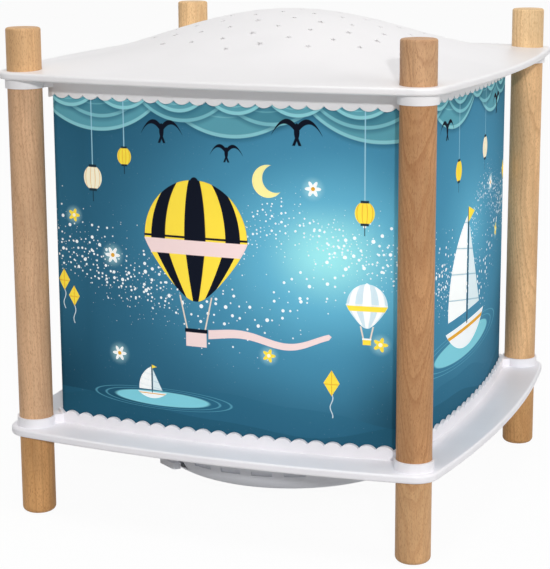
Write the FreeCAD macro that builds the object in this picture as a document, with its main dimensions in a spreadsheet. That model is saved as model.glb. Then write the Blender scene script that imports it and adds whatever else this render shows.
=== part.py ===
import FreeCAD, Part
import math
import os
import re

import Sketcher
from FreeCAD import Placement, Rotation, Vector

# Rotating motion lamp: four beech posts carry two bowed square plates, a printed screen stands
# between them, and a picture drum turns inside it about a lit column.
# Frame: origin on the floor under the middle of the lamp, +X right, +Y to the rear, +Z up.
# Millimetres and degrees.

SIZES = (
    # beech posts: on each corner a knob, a column and a foot
    ("post_pitch", 154.0),
    ("post_radius", 6.55),
    ("foot_height", 32.1),
    ("column_length", 135.0),
    ("knob_height", 16.1),
    ("knob_edge", 0.9),
    ("foot_edge", 2.0),
    ("joint_chamfer", 0.3),
    ("stud_radius", 2.5),
    ("stud_grip", 12.0),
    ("stud_fit", 0.05),
    ("stud_end_gap", 0.5),
    # plates
    ("plate_corner_radius", 9.7),
    ("plate_bow", 5.5),
    ("base_thickness", 3.1),
    ("top_thickness", 2.7),
    ("rim_radius", 0.9),
    ("stud_hole_fit", 0.2),
    ("collar_wall", 0.7),
    ("collar_fit", 0.1),
    ("collar_height", 3.6),
    ("web_width", 6.0),
    # dome of the top plate
    ("dome_height", 19.5),
    ("dome_margin", 1.7),
    ("dome_wall", 2.5),
    ("dome_hollow_radius", 70.0),
    ("star_count", 78),
    ("star_radius", 1.9),
    ("star_waist", 0.8),
    ("star_spacing", 6.6),
    # scalloped skirts, screen and locating ribs
    ("skirt_corner_inset", 10.0),
    ("skirt_bow", 4.8),
    ("skirt_wall", 1.5),
    ("base_skirt_height", 5.1),
    ("top_skirt_height", 7.6),
    ("scallop_pitch", 6.41),
    ("scallop_depth", 1.6),
    ("screen_thickness", 0.8),
    ("screen_gap", 0.25),
    ("screen_end_gap", 0.3),
    ("rib_wall", 1.0),
    ("rib_height", 2.4),
    ("rib_corner_radius", 1.2),
    # light column, which is the drum's axle
    ("axle_radius", 7.0),
    ("axle_bore", 4.5),
    ("axle_height", 72.8),
    ("flange_radius", 15.0),
    ("flange_thickness", 2.0),
    ("shoulder_radius", 9.5),
    ("shoulder_height", 4.8),
    ("washer_thickness", 0.6),
    ("column_screw_circle", 11.8),
    # lamp head
    ("carrier_radius", 14.0),
    ("carrier_thickness", 2.0),
    ("spigot_length", 6.0),
    ("lead_hole_radius", 2.2),
    ("lamp_board_radius", 10.5),
    ("lamp_board_thickness", 1.6),
    ("led_count", 6),
    ("led_side", 3.0),
    ("led_height", 1.0),
    ("led_circle", 6.5),
    ("diffuser_radius", 13.2),
    ("diffuser_wall", 1.2),
    ("diffuser_straight", 9.0),
    # picture drum
    ("running_fit", 0.05),
    ("press_fit", 0.02),
    ("axial_play", 0.1),
    ("bush_wall", 1.5),
    ("hub_wall", 2.0),
    ("hub_length", 11.4),
    ("web_disc_radius", 34.0),
    ("disc_thickness", 2.0),
    ("drum_clearance", 7.75),
    ("drum_rim_width", 4.5),
    ("drum_lip_wall", 0.9),
    ("drum_lip_height", 5.3),
    ("arm_count", 6),
    ("arm_half_angle", 6.0),
    ("film_thickness", 0.5),
    ("film_height", 113.3),
    ("film_seat", 0.9),
    ("hoop_height", 6.0),
    ("hoop_flange", 1.0),
    # drum gear and motor pinion
    ("gear_module", 1.0),
    ("drum_teeth", 60),
    ("pinion_teeth", 15),
    ("tooth_addendum", 0.95),
    ("tooth_dedendum", 1.25),
    ("backlash", 0.12),
    ("gear_width", 4.0),
    ("pinion_gap", 0.5),
    ("pinion_hole_fit", 0.5),
    # gear motor
    ("shaft_radius", 1.5),
    ("shaft_depth", 5.0),
    ("gearbox_radius", 12.0),
    ("gearbox_height", 9.0),
    ("motor_radius", 10.0),
    ("motor_height", 10.6),
    ("ear_reach", 16.5),
    ("ear_radius", 3.4),
    ("ear_thickness", 2.0),
    # drive housing under the base plate
    ("motor_clearance", 7.1),
    ("housing_depth", 22.9),
    ("housing_edge", 14.0),
    ("housing_wall", 2.0),
    ("groove_count", 15),
    ("groove_rear_count", 9),
    ("groove_step", 12.857),
    ("groove_first", 253.8),
    ("groove_rear_first", 112.4),
    ("groove_length", 8.4),
    ("groove_width", 1.8),
    ("groove_height", 9.1),
    ("groove_inset", 2.1),
    ("front_post_x", 14.5),
    ("front_post_y", 38.4),
    ("rear_post_x", 19.2),
    ("rear_post_y", 36.3),
    ("housing_post_radius", 4.2),
    ("boss_radius", 3.2),
    ("boss_depth", 8.0),
    ("counterbore_depth", 7.0),
    # screws
    ("screw_radius", 1.45),
    ("screw_head_radius", 2.7),
    ("screw_head_height", 1.6),
    ("screw_length", 12.0),
    ("small_screw_radius", 1.0),
    ("small_head_radius", 1.9),
    ("small_head_height", 1.2),
    ("small_screw_length", 4.5),
    ("screw_hole_fit", 0.2),
    ("screw_bite", 0.03),
    # circuit board and USB socket
    ("board_width", 28.0),
    ("board_length", 33.0),
    ("board_front", 20.0),
    ("board_thickness", 1.6),
    ("board_screw_x", 10.0),
    ("board_screw_y", 24.0),
    ("board_drop", 8.0),
    ("board_boss_radius", 2.4),
    ("chip_side", 7.0),
    ("chip_height", 1.2),
    ("capacitor_radius", 2.6),
    ("capacitor_height", 5.0),
    ("socket_width", 8.9),
    ("socket_height", 3.2),
    ("socket_length", 7.3),
    ("socket_wall", 0.35),
    ("socket_round", 1.2),
    ("socket_tongue", 0.7),
    ("socket_recess", 0.6),
    ("port_margin", 1.4),
    # rechargeable cell, its holder and its clips
    ("cell_radius", 7.0),
    ("cell_length", 50.0),
    ("cell_clearance", 2.4),
    ("cell_drop", 10.0),
    ("cell_nub_radius", 2.6),
    ("cell_nub_height", 1.0),
    ("cell_fit", 0.1),
    ("clip_thickness", 0.5),
    ("clip_width", 8.0),
    ("clip_above", 4.5),
    ("clip_below", 6.8),
    ("holder_wall", 1.4),
    ("holder_lip", 2.0),
    ("holder_screw_y", 15.0),
    # slide switch and its thumb lever
    ("switch_azimuth", 236.0),
    ("switch_clearance", 7.1),
    ("switch_depth", 5.0),
    ("switch_width", 10.0),
    ("switch_height", 6.0),
    ("switch_shelf", 1.8),
    ("switch_skin", 0.8),
    ("lever_rise", 2.8),
    ("lever_travel", 4.0),
    ("lever_stem_width", 3.0),
    ("lever_stem_height", 2.0),
    ("lever_fit", 0.3),
    ("lever_window_gap", 1.0),
    ("lever_tab_inset", 0.8),
    ("lever_tab_length", 3.0),
    ("lever_tab_width", 12.0),
    ("lever_tab_height", 2.6),
    ("lever_tab_round", 1.6),
    ("lever_tab_edge", 0.4),
    # internal leads
    ("lead_radius", 0.6),
    ("lead_spacing", 2.6),
    ("lead_bend", 2.4),
    ("lead_drop", 4.5),
    ("lead_rise", 3.9),
    ("cell_lead_drop", 5.6),
    ("cell_lead_reach", 4.0),
)

doc = FreeCAD.newDocument("rotating_lamp")
sheet = doc.addObject("Spreadsheet::Sheet", "sizes")
for row, (alias, number) in enumerate(SIZES, start=1):
    sheet.set(f"A{row}", alias)
    sheet.set(f"B{row}", str(number))
    sheet.setAlias(f"B{row}", alias)
doc.recompute()

ALIASES = {alias for alias, number in SIZES}
SUB_PARTS = []


# ---- formulas on the sheet -------------------------------------------------------------------

def formula(text):
    """Write a formula on size names as an expression that other objects can use."""
    return re.sub(r"[a-z][a-z_]*", lambda word: "sizes." + word.group()
                  if word.group() in ALIASES else word.group(), str(text))


def mm(text):
    """Work out a formula's present value."""
    return float(sheet.evalExpression(formula(text)))


# heights of the main faces
BASE_BOTTOM = "foot_height"
BASE_TOP = "(foot_height + base_thickness)"
TOP_UNDERSIDE = f"({BASE_TOP} + column_length)"
TOP_FACE = f"({TOP_UNDERSIDE} + top_thickness)"
# corner radii of the nested bowed squares, from the inside out
RIB_INNER = "rib_corner_radius"
RIB_OUTER = f"({RIB_INNER} + rib_wall)"
SCREEN_INNER = f"({RIB_OUTER} + screen_gap)"
SCREEN_OUTER = f"({SCREEN_INNER} + screen_thickness)"
SKIRT_INNER = f"({SCREEN_OUTER} + screen_gap)"
SKIRT_OUTER = f"({SKIRT_INNER} + skirt_wall)"
SKIRT_CORNER = "(post_pitch / 2 - skirt_corner_inset)"
POST = "(post_pitch / 2)"
# drum stack
SHOULDER_TOP = f"({BASE_TOP} + shoulder_height)"
DRUM_BOTTOM = f"({SHOULDER_TOP} + washer_thickness + axial_play)"
DISC_BOTTOM = f"({DRUM_BOTTOM} + gear_width)"
DISC_TOP = f"({DISC_BOTTOM} + disc_thickness)"
BUSH_INNER = "(axle_radius + running_fit)"
BUSH_OUTER = f"({BUSH_INNER} + bush_wall)"
HUB_INNER = f"({BUSH_OUTER} + press_fit)"
HUB_OUTER = f"({HUB_INNER} + hub_wall)"
DRUM_RADIUS = f"({SKIRT_CORNER} + {SCREEN_INNER} + skirt_bow - drum_clearance)"
FILM_OUTER = f"({DRUM_RADIUS} - film_seat)"
FILM_INNER = f"({FILM_OUTER} - film_thickness)"
LIP_OUTER = f"({FILM_INNER} - running_fit)"
LIP_INNER = f"({LIP_OUTER} - drum_lip_wall)"
FILM_TOP = f"({DISC_TOP} + film_height)"
# lamp head
AXLE_TOP = f"({BASE_TOP} + axle_height)"
CARRIER_TOP = f"({AXLE_TOP} + carrier_thickness)"
LAMP_BOARD_TOP = f"({CARRIER_TOP} + lamp_board_thickness)"
# gears and motor
GEAR_CENTRES = "(gear_module * (drum_teeth + pinion_teeth) / 2)"
MOTOR_X = f"(-{GEAR_CENTRES})"
GEARBOX_BOTTOM = f"({BASE_BOTTOM} - gearbox_height)"
# housing
HOUSING_BOTTOM = f"({BASE_BOTTOM} - housing_depth)"
HOUSING_FLOOR = f"({HOUSING_BOTTOM} + housing_wall)"
BOSS_BOTTOM = f"({BASE_BOTTOM} - boss_depth)"
BOARD_TOP = f"({BASE_BOTTOM} - board_drop)"
BOARD_BOTTOM = f"({BOARD_TOP} - board_thickness)"
SWITCH_BOTTOM = f"({HOUSING_FLOOR} + switch_shelf)"
CELL_HEIGHT = f"({BASE_BOTTOM} - cell_drop)"
LEVER_HEIGHT = f"({SWITCH_BOTTOM} + lever_rise)"
HOUSING_INSIDE = f"({GEAR_CENTRES} + gearbox_radius + motor_clearance)"
HOUSING_OUTSIDE = f"({HOUSING_INSIDE} + housing_wall)"
SOCKET_END = f"({HOUSING_INSIDE} - socket_recess)"
SWITCH_REACH = f"({HOUSING_INSIDE} - switch_clearance - switch_depth)"
# battery cell, which lies as near the housing's wall as its holder's corners allow
CELL_BORE = "(cell_radius + cell_fit)"
CELL_REAR = "(cell_length / 2 + cell_nub_height + clip_thickness)"
HOLDER_HALF = f"({CELL_BORE} + holder_wall)"
CELL_X = (f"(sqrt(({HOUSING_INSIDE} - cell_clearance)^2 - ({CELL_REAR} + holder_wall)^2)"
          f" - {HOLDER_HALF})")

CORNERS = (("front_left", -1, -1), ("front_right", 1, -1), ("rear_right", 1, 1), ("rear_left", -1, 1))


# ---- PartDesign helpers ----------------------------------------------------------------------

def new_body(name):
    body = doc.addObject("PartDesign::Body", name)
    body.Label = name
    return body


def new_sketch(body, role="XY_Plane", offset="0", turn=None):
    """Make a sketch on one of the body's own origin planes, moved along the plane's normal and
    turned about the body's Z axis."""
    sketch = body.newObject("Sketcher::SketchObject", body.Name + "_sketch")
    plane = next(item for item in body.Origin.OriginFeatures if item.Role == role)
    sketch.AttachmentSupport = [(plane, "")]
    sketch.MapMode = "FlatFace"
    if turn:
        axis = Vector(0, 0, 1) if role == "XY_Plane" else Vector(0, 1, 0)
        sketch.AttachmentOffset = Placement(Vector(0, 0, 0), Rotation(axis, mm(turn)))
        sketch.setExpression("AttachmentOffset.Rotation.Angle", formula(turn))
    if turn and role != "XY_Plane":
        sketch.setExpression("AttachmentOffset.Base.x", formula(f"{offset} * sin({turn})"))
        offset = f"{offset} * cos({turn})"
    sketch.setExpression("AttachmentOffset.Base.z", formula(offset))
    return sketch


def bind_point(sketch, geometry, vertex, x, y):
    """Tie one point of a sketch to formulas for its two coordinates."""
    for kind, text in (("DistanceX", x), ("DistanceY", y)):
        number = sketch.addConstraint(Sketcher.Constraint(kind, -1, 1, geometry, vertex, mm(text)))
        sketch.setExpression(f"Constraints[{number}]", formula(text))


def bind_radius(sketch, geometry, radius):
    number = sketch.addConstraint(Sketcher.Constraint("Radius", geometry, mm(radius)))
    sketch.setExpression(f"Constraints[{number}]", formula(radius))


def draw_polygon(sketch, corners):
    """Draw a closed polygon whose corners are pairs of formulas."""
    points = [Vector(mm(x), mm(y), 0) for x, y in corners]
    sides = [sketch.addGeometry(Part.LineSegment(start, end), False)
             for start, end in zip(points, points[1:] + points[:1])]
    for side, following in zip(sides, sides[1:] + sides[:1]):
        sketch.addConstraint(Sketcher.Constraint("Coincident", side, 2, following, 1))
    for side, (x, y) in zip(sides, corners):
        bind_point(sketch, side, 1, x, y)


def draw_rectangle(sketch, x_low, x_high, y_low, y_high):
    draw_polygon(sketch, ((x_low, y_low), (x_high, y_low), (x_high, y_high), (x_low, y_high)))


def draw_circle(sketch, x, y, radius):
    centre = Vector(mm(x), mm(y), 0)
    circle = sketch.addGeometry(Part.Circle(centre, Vector(0, 0, 1), mm(radius)), False)
    bind_point(sketch, circle, 3, x, y)
    bind_radius(sketch, circle, radius)


def bowed_square_arcs(half_pitch, corner_radius, bow):
    """Four side arcs, each followed by its corner arc: the corner circles stand at +-half_pitch,
    and each side bows out by bow beyond them, tangent to both of its corners."""
    reach = half_pitch + corner_radius + bow
    side_radius = half_pitch ** 2 / (2 * bow) + bow / 2 + corner_radius
    centre_drop = -half_pitch - (side_radius - reach)
    lean = math.hypot(half_pitch, centre_drop)
    touch_x = half_pitch + corner_radius * half_pitch / lean
    touch_y = -half_pitch + corner_radius * centre_drop / lean
    corner_mid = half_pitch + corner_radius / math.sqrt(2)
    arcs = []
    for quarter in range(4):
        turn = Rotation(Vector(0, 0, 1), 90 * quarter)
        left, middle, right = Vector(-touch_x, touch_y, 0), Vector(0, -reach, 0), Vector(touch_x, touch_y, 0)
        corner, after = Vector(corner_mid, -corner_mid, 0), Vector(-touch_y, -touch_x, 0)
        arcs.append(Part.Arc(*(turn.multVec(point) for point in (left, middle, right))))
        arcs.append(Part.Arc(*(turn.multVec(point) for point in (right, corner, after))))
    return arcs


def draw_bowed_square(sketch, half_pitch, corner_radius, bow):
    """Draw a bowed square: corner circles placed by formulas, side arcs tangent to them."""
    arcs = bowed_square_arcs(mm(half_pitch), mm(corner_radius), mm(bow))
    drawn = [sketch.addGeometry(arc, False) for arc in arcs]
    reach = f"({half_pitch} + {corner_radius} + {bow})"
    signs = ((0, -1), (1, -1), (1, 0), (1, 1), (0, 1), (-1, 1), (-1, 0), (-1, -1))
    for arc, following, (x_sign, y_sign) in zip(drawn, drawn[1:] + drawn[:1], signs):
        sketch.addConstraint(Sketcher.Constraint("Tangent", arc, 2, following, 1))
        if x_sign and y_sign:
            bind_point(sketch, arc, 3, f"{x_sign} * {half_pitch}", f"{y_sign} * {half_pitch}")
            bind_radius(sketch, arc, corner_radius)
        else:
            middle = sketch.addGeometry(Part.Point(Vector(x_sign * mm(reach), y_sign * mm(reach), 0)), True)
            bind_point(sketch, middle, 1, f"{x_sign} * {reach}", f"{y_sign} * {reach}")
            sketch.addConstraint(Sketcher.Constraint("PointOnObject", middle, 1, arc))


def pad(body, sketch, height, downward=False):
    feature = body.newObject("PartDesign::Pad", body.Name + "_pad")
    feature.Profile = sketch
    feature.setExpression("Length", formula(height))
    feature.Reversed = downward
    doc.recompute()
    return feature


def pocket(body, sketch, depth, upward=False):
    """Cut a sketch's outline into the body, downwards unless upward is set."""
    volume = body.Shape.Volume
    feature = body.newObject("PartDesign::Pocket", body.Name + "_pocket")
    feature.Profile = sketch
    feature.setExpression("Length", formula(depth))
    feature.Reversed = upward
    doc.recompute()
    if not body.Shape.Volume < volume:
        raise ValueError(f"{feature.Name} cuts nothing")
    return feature


def turn_profile(body, corners):
    """Revolve a polygon of (radius, height) formulas about the body's Z axis."""
    sketch = new_sketch(body, "XZ_Plane")
    draw_polygon(sketch, corners)
    feature = body.newObject("PartDesign::Revolution", body.Name + "_revolution")
    feature.Profile = sketch
    feature.ReferenceAxis = (sketch, ["V_Axis"])
    feature.Angle = 360
    doc.recompute()
    return feature


def turned(name, corners):
    body = new_body(name)
    turn_profile(body, corners)
    return body


def ring(name, inner, outer, low, high):
    """Turn a plain ring or tube."""
    return turned(name, ((inner, low), (outer, low), (outer, high), (inner, high)))


def round_edges(body, radius, chosen, kind="Fillet"):
    """Fillet or chamfer the edges for which chosen(edge) is true."""
    base = body.Tip
    names = [f"Edge{number}" for number, edge in enumerate(base.Shape.Edges, start=1) if chosen(edge)]
    feature = body.newObject("PartDesign::" + kind, body.Name + "_" + kind.lower())
    feature.Base = (base, names)
    feature.setExpression("Radius" if kind == "Fillet" else "Size", formula(radius))
    doc.recompute()
    return feature


def at_height(z):
    """Choose edges that lie flat at one height."""
    return lambda edge: (abs(edge.BoundBox.ZMin - z) < 1e-4 and abs(edge.BoundBox.ZMax - z) < 1e-4)


def pattern(body, feature, kind, axis_role, extent, count):
    """Repeat a feature along or about one of the body's axes."""
    repeat = body.newObject("PartDesign::" + kind, body.Name + "_pattern")
    repeat.Originals = [feature]
    axis = next(item for item in body.Origin.OriginFeatures if item.Role == axis_role)
    if kind == "PolarPattern":
        repeat.Axis = (axis, [""])
        repeat.setExpression("Angle", formula(extent))
    else:
        repeat.Direction = (axis, [""])
        repeat.setExpression("Length", formula(extent))
    repeat.setExpression("Occurrences", formula(count))
    body.Tip = repeat
    doc.recompute()
    return repeat


def place(item, x="0", y="0", z="0"):
    for axis, text in zip("xyz", (x, y, z)):
        item.setExpression(f"Placement.Base.{axis}", formula(text))


def turn_about_z(item, angle):
    item.Placement = Placement(Vector(0, 0, 0), Rotation(Vector(0, 0, 1), mm(angle)))
    item.setExpression("Placement.Rotation.Angle", formula(angle))


def keep(item, name=None):
    """List a finished object as a sub-part."""
    item.Label = name or item.Label
    SUB_PARTS.append(item)
    return item


def shaped(name, shape):
    """Hold a shape made with Part's own functions in an object of the document."""
    item = doc.addObject("Part::Feature", name)
    item.Label = name
    item.Shape = shape
    return item


# ---- beech posts and studs -------------------------------------------------------------------

STUD_BORE = "(stud_radius + stud_fit)"
BORE_DEPTH = "(stud_grip + stud_end_gap)"


def make_knob(corner, x_sign, y_sign):
    """A short turned knob with a softened top edge and a blind bore from below."""
    body = turned("knob_" + corner, (
        (STUD_BORE, "0"), ("post_radius", "0"), ("post_radius", "knob_height"),
        ("0", "knob_height"), ("0", BORE_DEPTH), (STUD_BORE, BORE_DEPTH)))
    round_edges(body, "knob_edge", at_height(mm("knob_height")))
    place(body, f"{x_sign} * {POST}", f"{y_sign} * {POST}", TOP_FACE)
    keep(body)


def make_column(corner, x_sign, y_sign):
    """The long round post between the plates, bored at both ends."""
    body = turned("column_" + corner, (
        (STUD_BORE, "0"), ("post_radius", "0"), ("post_radius", "column_length"),
        (STUD_BORE, "column_length"), (STUD_BORE, f"column_length - {BORE_DEPTH}"),
        ("0", f"column_length - {BORE_DEPTH}"), ("0", BORE_DEPTH), (STUD_BORE, BORE_DEPTH)))
    outer = mm("post_radius")
    round_edges(body, "joint_chamfer", lambda edge: edge.BoundBox.ZLength < 1e-4
                and edge.BoundBox.XMax > outer - 1e-4, kind="Chamfer")
    place(body, f"{x_sign} * {POST}", f"{y_sign} * {POST}", BASE_TOP)
    keep(body)


def make_foot(corner, x_sign, y_sign):
    """The foot under the base plate, rounded where it meets the floor."""
    body = turned("foot_" + corner, (
        ("0", "0"), ("post_radius", "0"), ("post_radius", "foot_height"), (STUD_BORE, "foot_height"),
        (STUD_BORE, f"foot_height - {BORE_DEPTH}"), ("0", f"foot_height - {BORE_DEPTH}")))
    round_edges(body, "foot_edge", at_height(0))
    place(body, f"{x_sign} * {POST}", f"{y_sign} * {POST}")
    keep(body)


def copies(name, template, places):
    """One object that holds a copy of a template at each placement."""
    solids = []
    for where in places:
        solid = template.Shape.copy()
        solid.Placement = where.multiply(solid.Placement)
        solids.append(solid)
    return keep(shaped(name, Part.makeCompound(solids)))


def at(x, y, z, turn=0.0, flip=False):
    """Placement at a point, turned about Z and, where flip is set, upside down."""
    rotation = Rotation(Vector(0, 0, 1), turn)
    if flip:
        rotation = rotation.multiply(Rotation(Vector(1, 0, 0), 180))
    return Placement(Vector(x, y, z), rotation)


def make_studs(name, plate_thickness, low):
    """Threaded rods that reach through a plate into the wood on both sides of it."""
    stud = turned(name + "_rod", (
        ("0", "0"), ("stud_radius", "0"), ("stud_radius", f"2 * stud_grip + {plate_thickness}"),
        ("0", f"2 * stud_grip + {plate_thickness}")))
    round_edges(stud, "joint_chamfer", lambda edge: edge.BoundBox.ZLength < 1e-4, kind="Chamfer")
    half = mm(POST)
    copies(name, stud, [at(x_sign * half, y_sign * half, mm(f"{low} - stud_grip"))
                        for corner, x_sign, y_sign in CORNERS])


# ---- plates ----------------------------------------------------------------------------------

def scallop_combs(edge_height, direction):
    """Four combs, one for each side of a skirt, that leave round scallops with pointed valleys.

    direction is 1 where the skirt stands up and -1 where it hangs. A scallop is an arc whose chord
    is the pitch and whose rise is the depth; a comb ends on the crest of the scallop after its last
    full one."""
    pitch, depth = mm("scallop_pitch"), mm("scallop_depth")
    radius = ((pitch / 2) ** 2 + depth ** 2) / (2 * depth)
    count = round(2 * mm(SKIRT_CORNER) / pitch)
    near, far = mm(SKIRT_CORNER), mm(f"{SKIRT_CORNER} + {SKIRT_OUTER} + skirt_bow + skirt_wall")

    def crest_point(centre, offset):
        drop = radius - math.sqrt(radius ** 2 - offset ** 2)
        return Vector(centre + offset, -far, edge_height - direction * drop)

    def arc(centre, start, end):
        offsets = (start, (start + end) / 2, end)
        return Part.Arc(*(crest_point(centre, offset) for offset in offsets)).toShape()

    centres = [pitch * (number - (count - 1) / 2) for number in range(count)]
    edges = [arc(centres[0] - pitch, 0, pitch / 2)]
    edges += [arc(centre, -pitch / 2, pitch / 2) for centre in centres]
    edges.append(arc(centres[-1] + pitch, -pitch / 2, 0))
    left, right = (Vector(sign * pitch * (count + 1) / 2, -far, edge_height) for sign in (-1, 1))
    beyond = Vector(0, 0, direction * depth)
    edges += Part.makePolygon([right, right + beyond, left + beyond, left]).Edges
    comb = Part.Face(Part.Wire(edges)).extrude(Vector(0, far - near, 0))
    combs = []
    for quarter in range(4):
        side = comb.copy()
        side.rotate(Vector(0, 0, 0), Vector(0, 0, 1), 90 * quarter)
        combs.append(side)
    return combs


def furnish_plate(body, face, skirt_height, direction):
    """Add to a plate the skirt, the screen's rib, the webs and the collars that hold the posts.

    direction is 1 on the base plate, where all this stands up, and -1 under the top plate."""
    hanging = direction < 0
    skirt = new_sketch(body, offset=face)
    draw_bowed_square(skirt, SKIRT_CORNER, SKIRT_OUTER, "skirt_bow")
    draw_bowed_square(skirt, SKIRT_CORNER, SKIRT_INNER, "skirt_bow")
    pad(body, skirt, skirt_height, hanging)
    rib = new_sketch(body, offset=face)
    draw_bowed_square(rib, SKIRT_CORNER, RIB_OUTER, "skirt_bow")
    draw_bowed_square(rib, SKIRT_CORNER, RIB_INNER, "skirt_bow")
    pad(body, rib, "rib_height", hanging)
    webs = new_sketch(body, offset=face)
    collars = new_sketch(body, offset=face)
    seats = new_sketch(body, offset=f"{face} + {direction} * collar_height")
    inner_end = f"({SKIRT_CORNER} + ({SKIRT_INNER} + skirt_wall / 5) / sqrt(2))"
    half_width = "(web_width / 2 / sqrt(2))"
    seat = "(post_radius + collar_fit)"
    for corner, x_sign, y_sign in CORNERS:
        draw_polygon(webs, (
            (f"{x_sign} * ({inner_end} - {half_width})", f"{y_sign} * ({inner_end} + {half_width})"),
            (f"{x_sign} * ({inner_end} + {half_width})", f"{y_sign} * ({inner_end} - {half_width})"),
            (f"{x_sign} * ({POST} + {half_width})", f"{y_sign} * ({POST} - {half_width})"),
            (f"{x_sign} * ({POST} - {half_width})", f"{y_sign} * ({POST} + {half_width})")))
        draw_circle(collars, f"{x_sign} * {POST}", f"{y_sign} * {POST}", f"{seat} + collar_wall")
        draw_circle(seats, f"{x_sign} * {POST}", f"{y_sign} * {POST}", seat)
    pad(body, webs, "collar_height", hanging)
    pad(body, collars, "collar_height", hanging)
    pocket(body, seats, "collar_height", hanging)


def cut_by_tools(name, plate, tools):
    """Cut a group of tools from a plate in one step."""
    cut = doc.addObject("Part::Cut", name)
    cut.Base, cut.Tool = plate, shaped(name + "_tools", Part.makeCompound(tools))
    doc.recompute()
    return keep(cut, name)


def corner_cylinders(radius, low, high):
    half, bottom, height = mm(POST), mm(low), mm(f"{high} - {low}")
    return [Part.makeCylinder(mm(radius), height, Vector(x_sign * half, y_sign * half, bottom))
            for corner, x_sign, y_sign in CORNERS]


def bowed_prism(half_pitch, corner_radius, bow, low, high):
    """Extrude a bowed square between two heights."""
    outline = Part.Wire([arc.toShape() for arc in bowed_square_arcs(half_pitch, corner_radius, bow)])
    outline.translate(Vector(0, 0, low))
    return Part.Face(outline).extrude(Vector(0, 0, high - low))


def dome_block(half_span, rise, skin, floor):
    """The solid below a bell-shaped surface; its underside repeats the bell below the floor.

    The surface is a product of two bells: z = skin + rise * f(x) * f(y), with
    f(x) = (1 - (x / half_span)^2)^2. As a patch of degree four that is a flat net of five by five
    poles whose middle pole stands rise * (8/3)^2 above the others."""
    degree, middle = 4, 2
    lift = rise * (8 / 3) ** 2
    step = 2 * half_span / degree
    poles = [[Vector(-half_span + step * column, -half_span + step * line,
                     skin + (lift if column == line == middle else 0.0))
              for line in range(degree + 1)] for column in range(degree + 1)]
    surface = Part.BSplineSurface()
    surface.buildFromPolesMultsKnots(poles, [degree + 1] * 2, [degree + 1] * 2, [0.0, 1.0], [0.0, 1.0],
                                     False, False, degree, degree)
    # extra knots leave the surface as it is and draw its poles close to it
    spans = 10
    knots = [number / spans for number in range(1, spans)]
    surface.insertUKnots(knots, [1] * len(knots), 1e-9, False)
    surface.insertVKnots(knots, [1] * len(knots), 1e-9, False)
    return surface.toShape().extrude(Vector(0, 0, floor - skin - rise))


def star_prism(x, y, outer, inner, turn, low, high):
    points = []
    for number in range(11):
        radius = inner if number % 2 else outer
        angle = math.radians(turn + 36 * number)
        points.append(Vector(x + radius * math.cos(angle), y + radius * math.sin(angle), low))
    return Part.Face(Part.makePolygon(points)).extrude(Vector(0, 0, high - low))


def make_top_plate():
    """Plate with a bell-shaped dome, hollow below, star holes, and the hanging furniture."""
    underside, face = mm(TOP_UNDERSIDE), mm(TOP_FACE)
    half_pitch, corner, bow = mm(POST), mm("plate_corner_radius"), mm("plate_bow")
    half_span = half_pitch + corner + bow + mm("dome_margin")
    rise, wall = mm("dome_height"), mm("dome_wall")
    ceiling, below = face + rise + wall, underside - mm("top_skirt_height")
    slab = bowed_prism(half_pitch, corner, bow, underside, ceiling)
    slab = slab.common(dome_block(half_span, rise, face, below)).Solids[0]
    rims = [edge for edge in slab.Edges if edge.BoundBox.ZLength < mm("top_thickness") / 2
            and abs(edge.tangentAt(edge.FirstParameter).z) < 0.5]
    slab = slab.makeFillet(mm("rim_radius"), rims)
    well = Part.makeCylinder(mm("dome_hollow_radius"), ceiling - underside + wall,
                             Vector(0, 0, underside - wall))
    slab = slab.cut(well.common(dome_block(half_span, rise, face - wall, underside - 2 * wall)))
    # a flat seat for each knob, where the dome already starts to rise
    knob_seats = corner_cylinders("post_radius + collar_fit", TOP_FACE, f"{TOP_FACE} + dome_height")
    slab = slab.cut(Part.makeCompound(knob_seats))
    furniture = new_body("top_furniture")
    root = new_sketch(furniture, offset=TOP_UNDERSIDE)
    draw_bowed_square(root, POST, "plate_corner_radius - rim_radius", "plate_bow")
    draw_circle(root, "0", "0", "dome_hollow_radius + rib_wall")
    pad(furniture, root, "top_thickness / 3")
    furnish_plate(furniture, TOP_UNDERSIDE, "top_skirt_height", -1)
    plate = doc.addObject("Part::Fuse", "plain_top_plate")
    plate.Base, plate.Tool = shaped("domed_slab", slab), furniture
    tools = []
    golden_angle = 180 * (3 - math.sqrt(5))
    for number in range(int(mm("star_count"))):
        distance = mm("star_spacing") * math.sqrt(number + 0.5)
        angle = math.radians(golden_angle * number)
        size = 1.0 if number % 3 == 0 else 0.8
        tools.append(star_prism(distance * math.cos(angle), distance * math.sin(angle),
                                mm("star_radius") * size, mm("star_waist") * size,
                                number * golden_angle, below, ceiling))
    tools += scallop_combs(mm(f"{TOP_UNDERSIDE} - top_skirt_height"), -1)
    tools += corner_cylinders("stud_radius + stud_hole_fit", f"{TOP_UNDERSIDE} - collar_height",
                              f"{TOP_FACE} + dome_height")
    cut_by_tools("top_plate", plate, tools)


COLUMN_SCREW_ANGLES = (90, 210, 330)
HOUSING_POSTS = (("-front_post_x", "-front_post_y"), ("front_post_x", "-front_post_y"),
                 ("rear_post_x", "rear_post_y"), ("-rear_post_x", "rear_post_y"))


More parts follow.
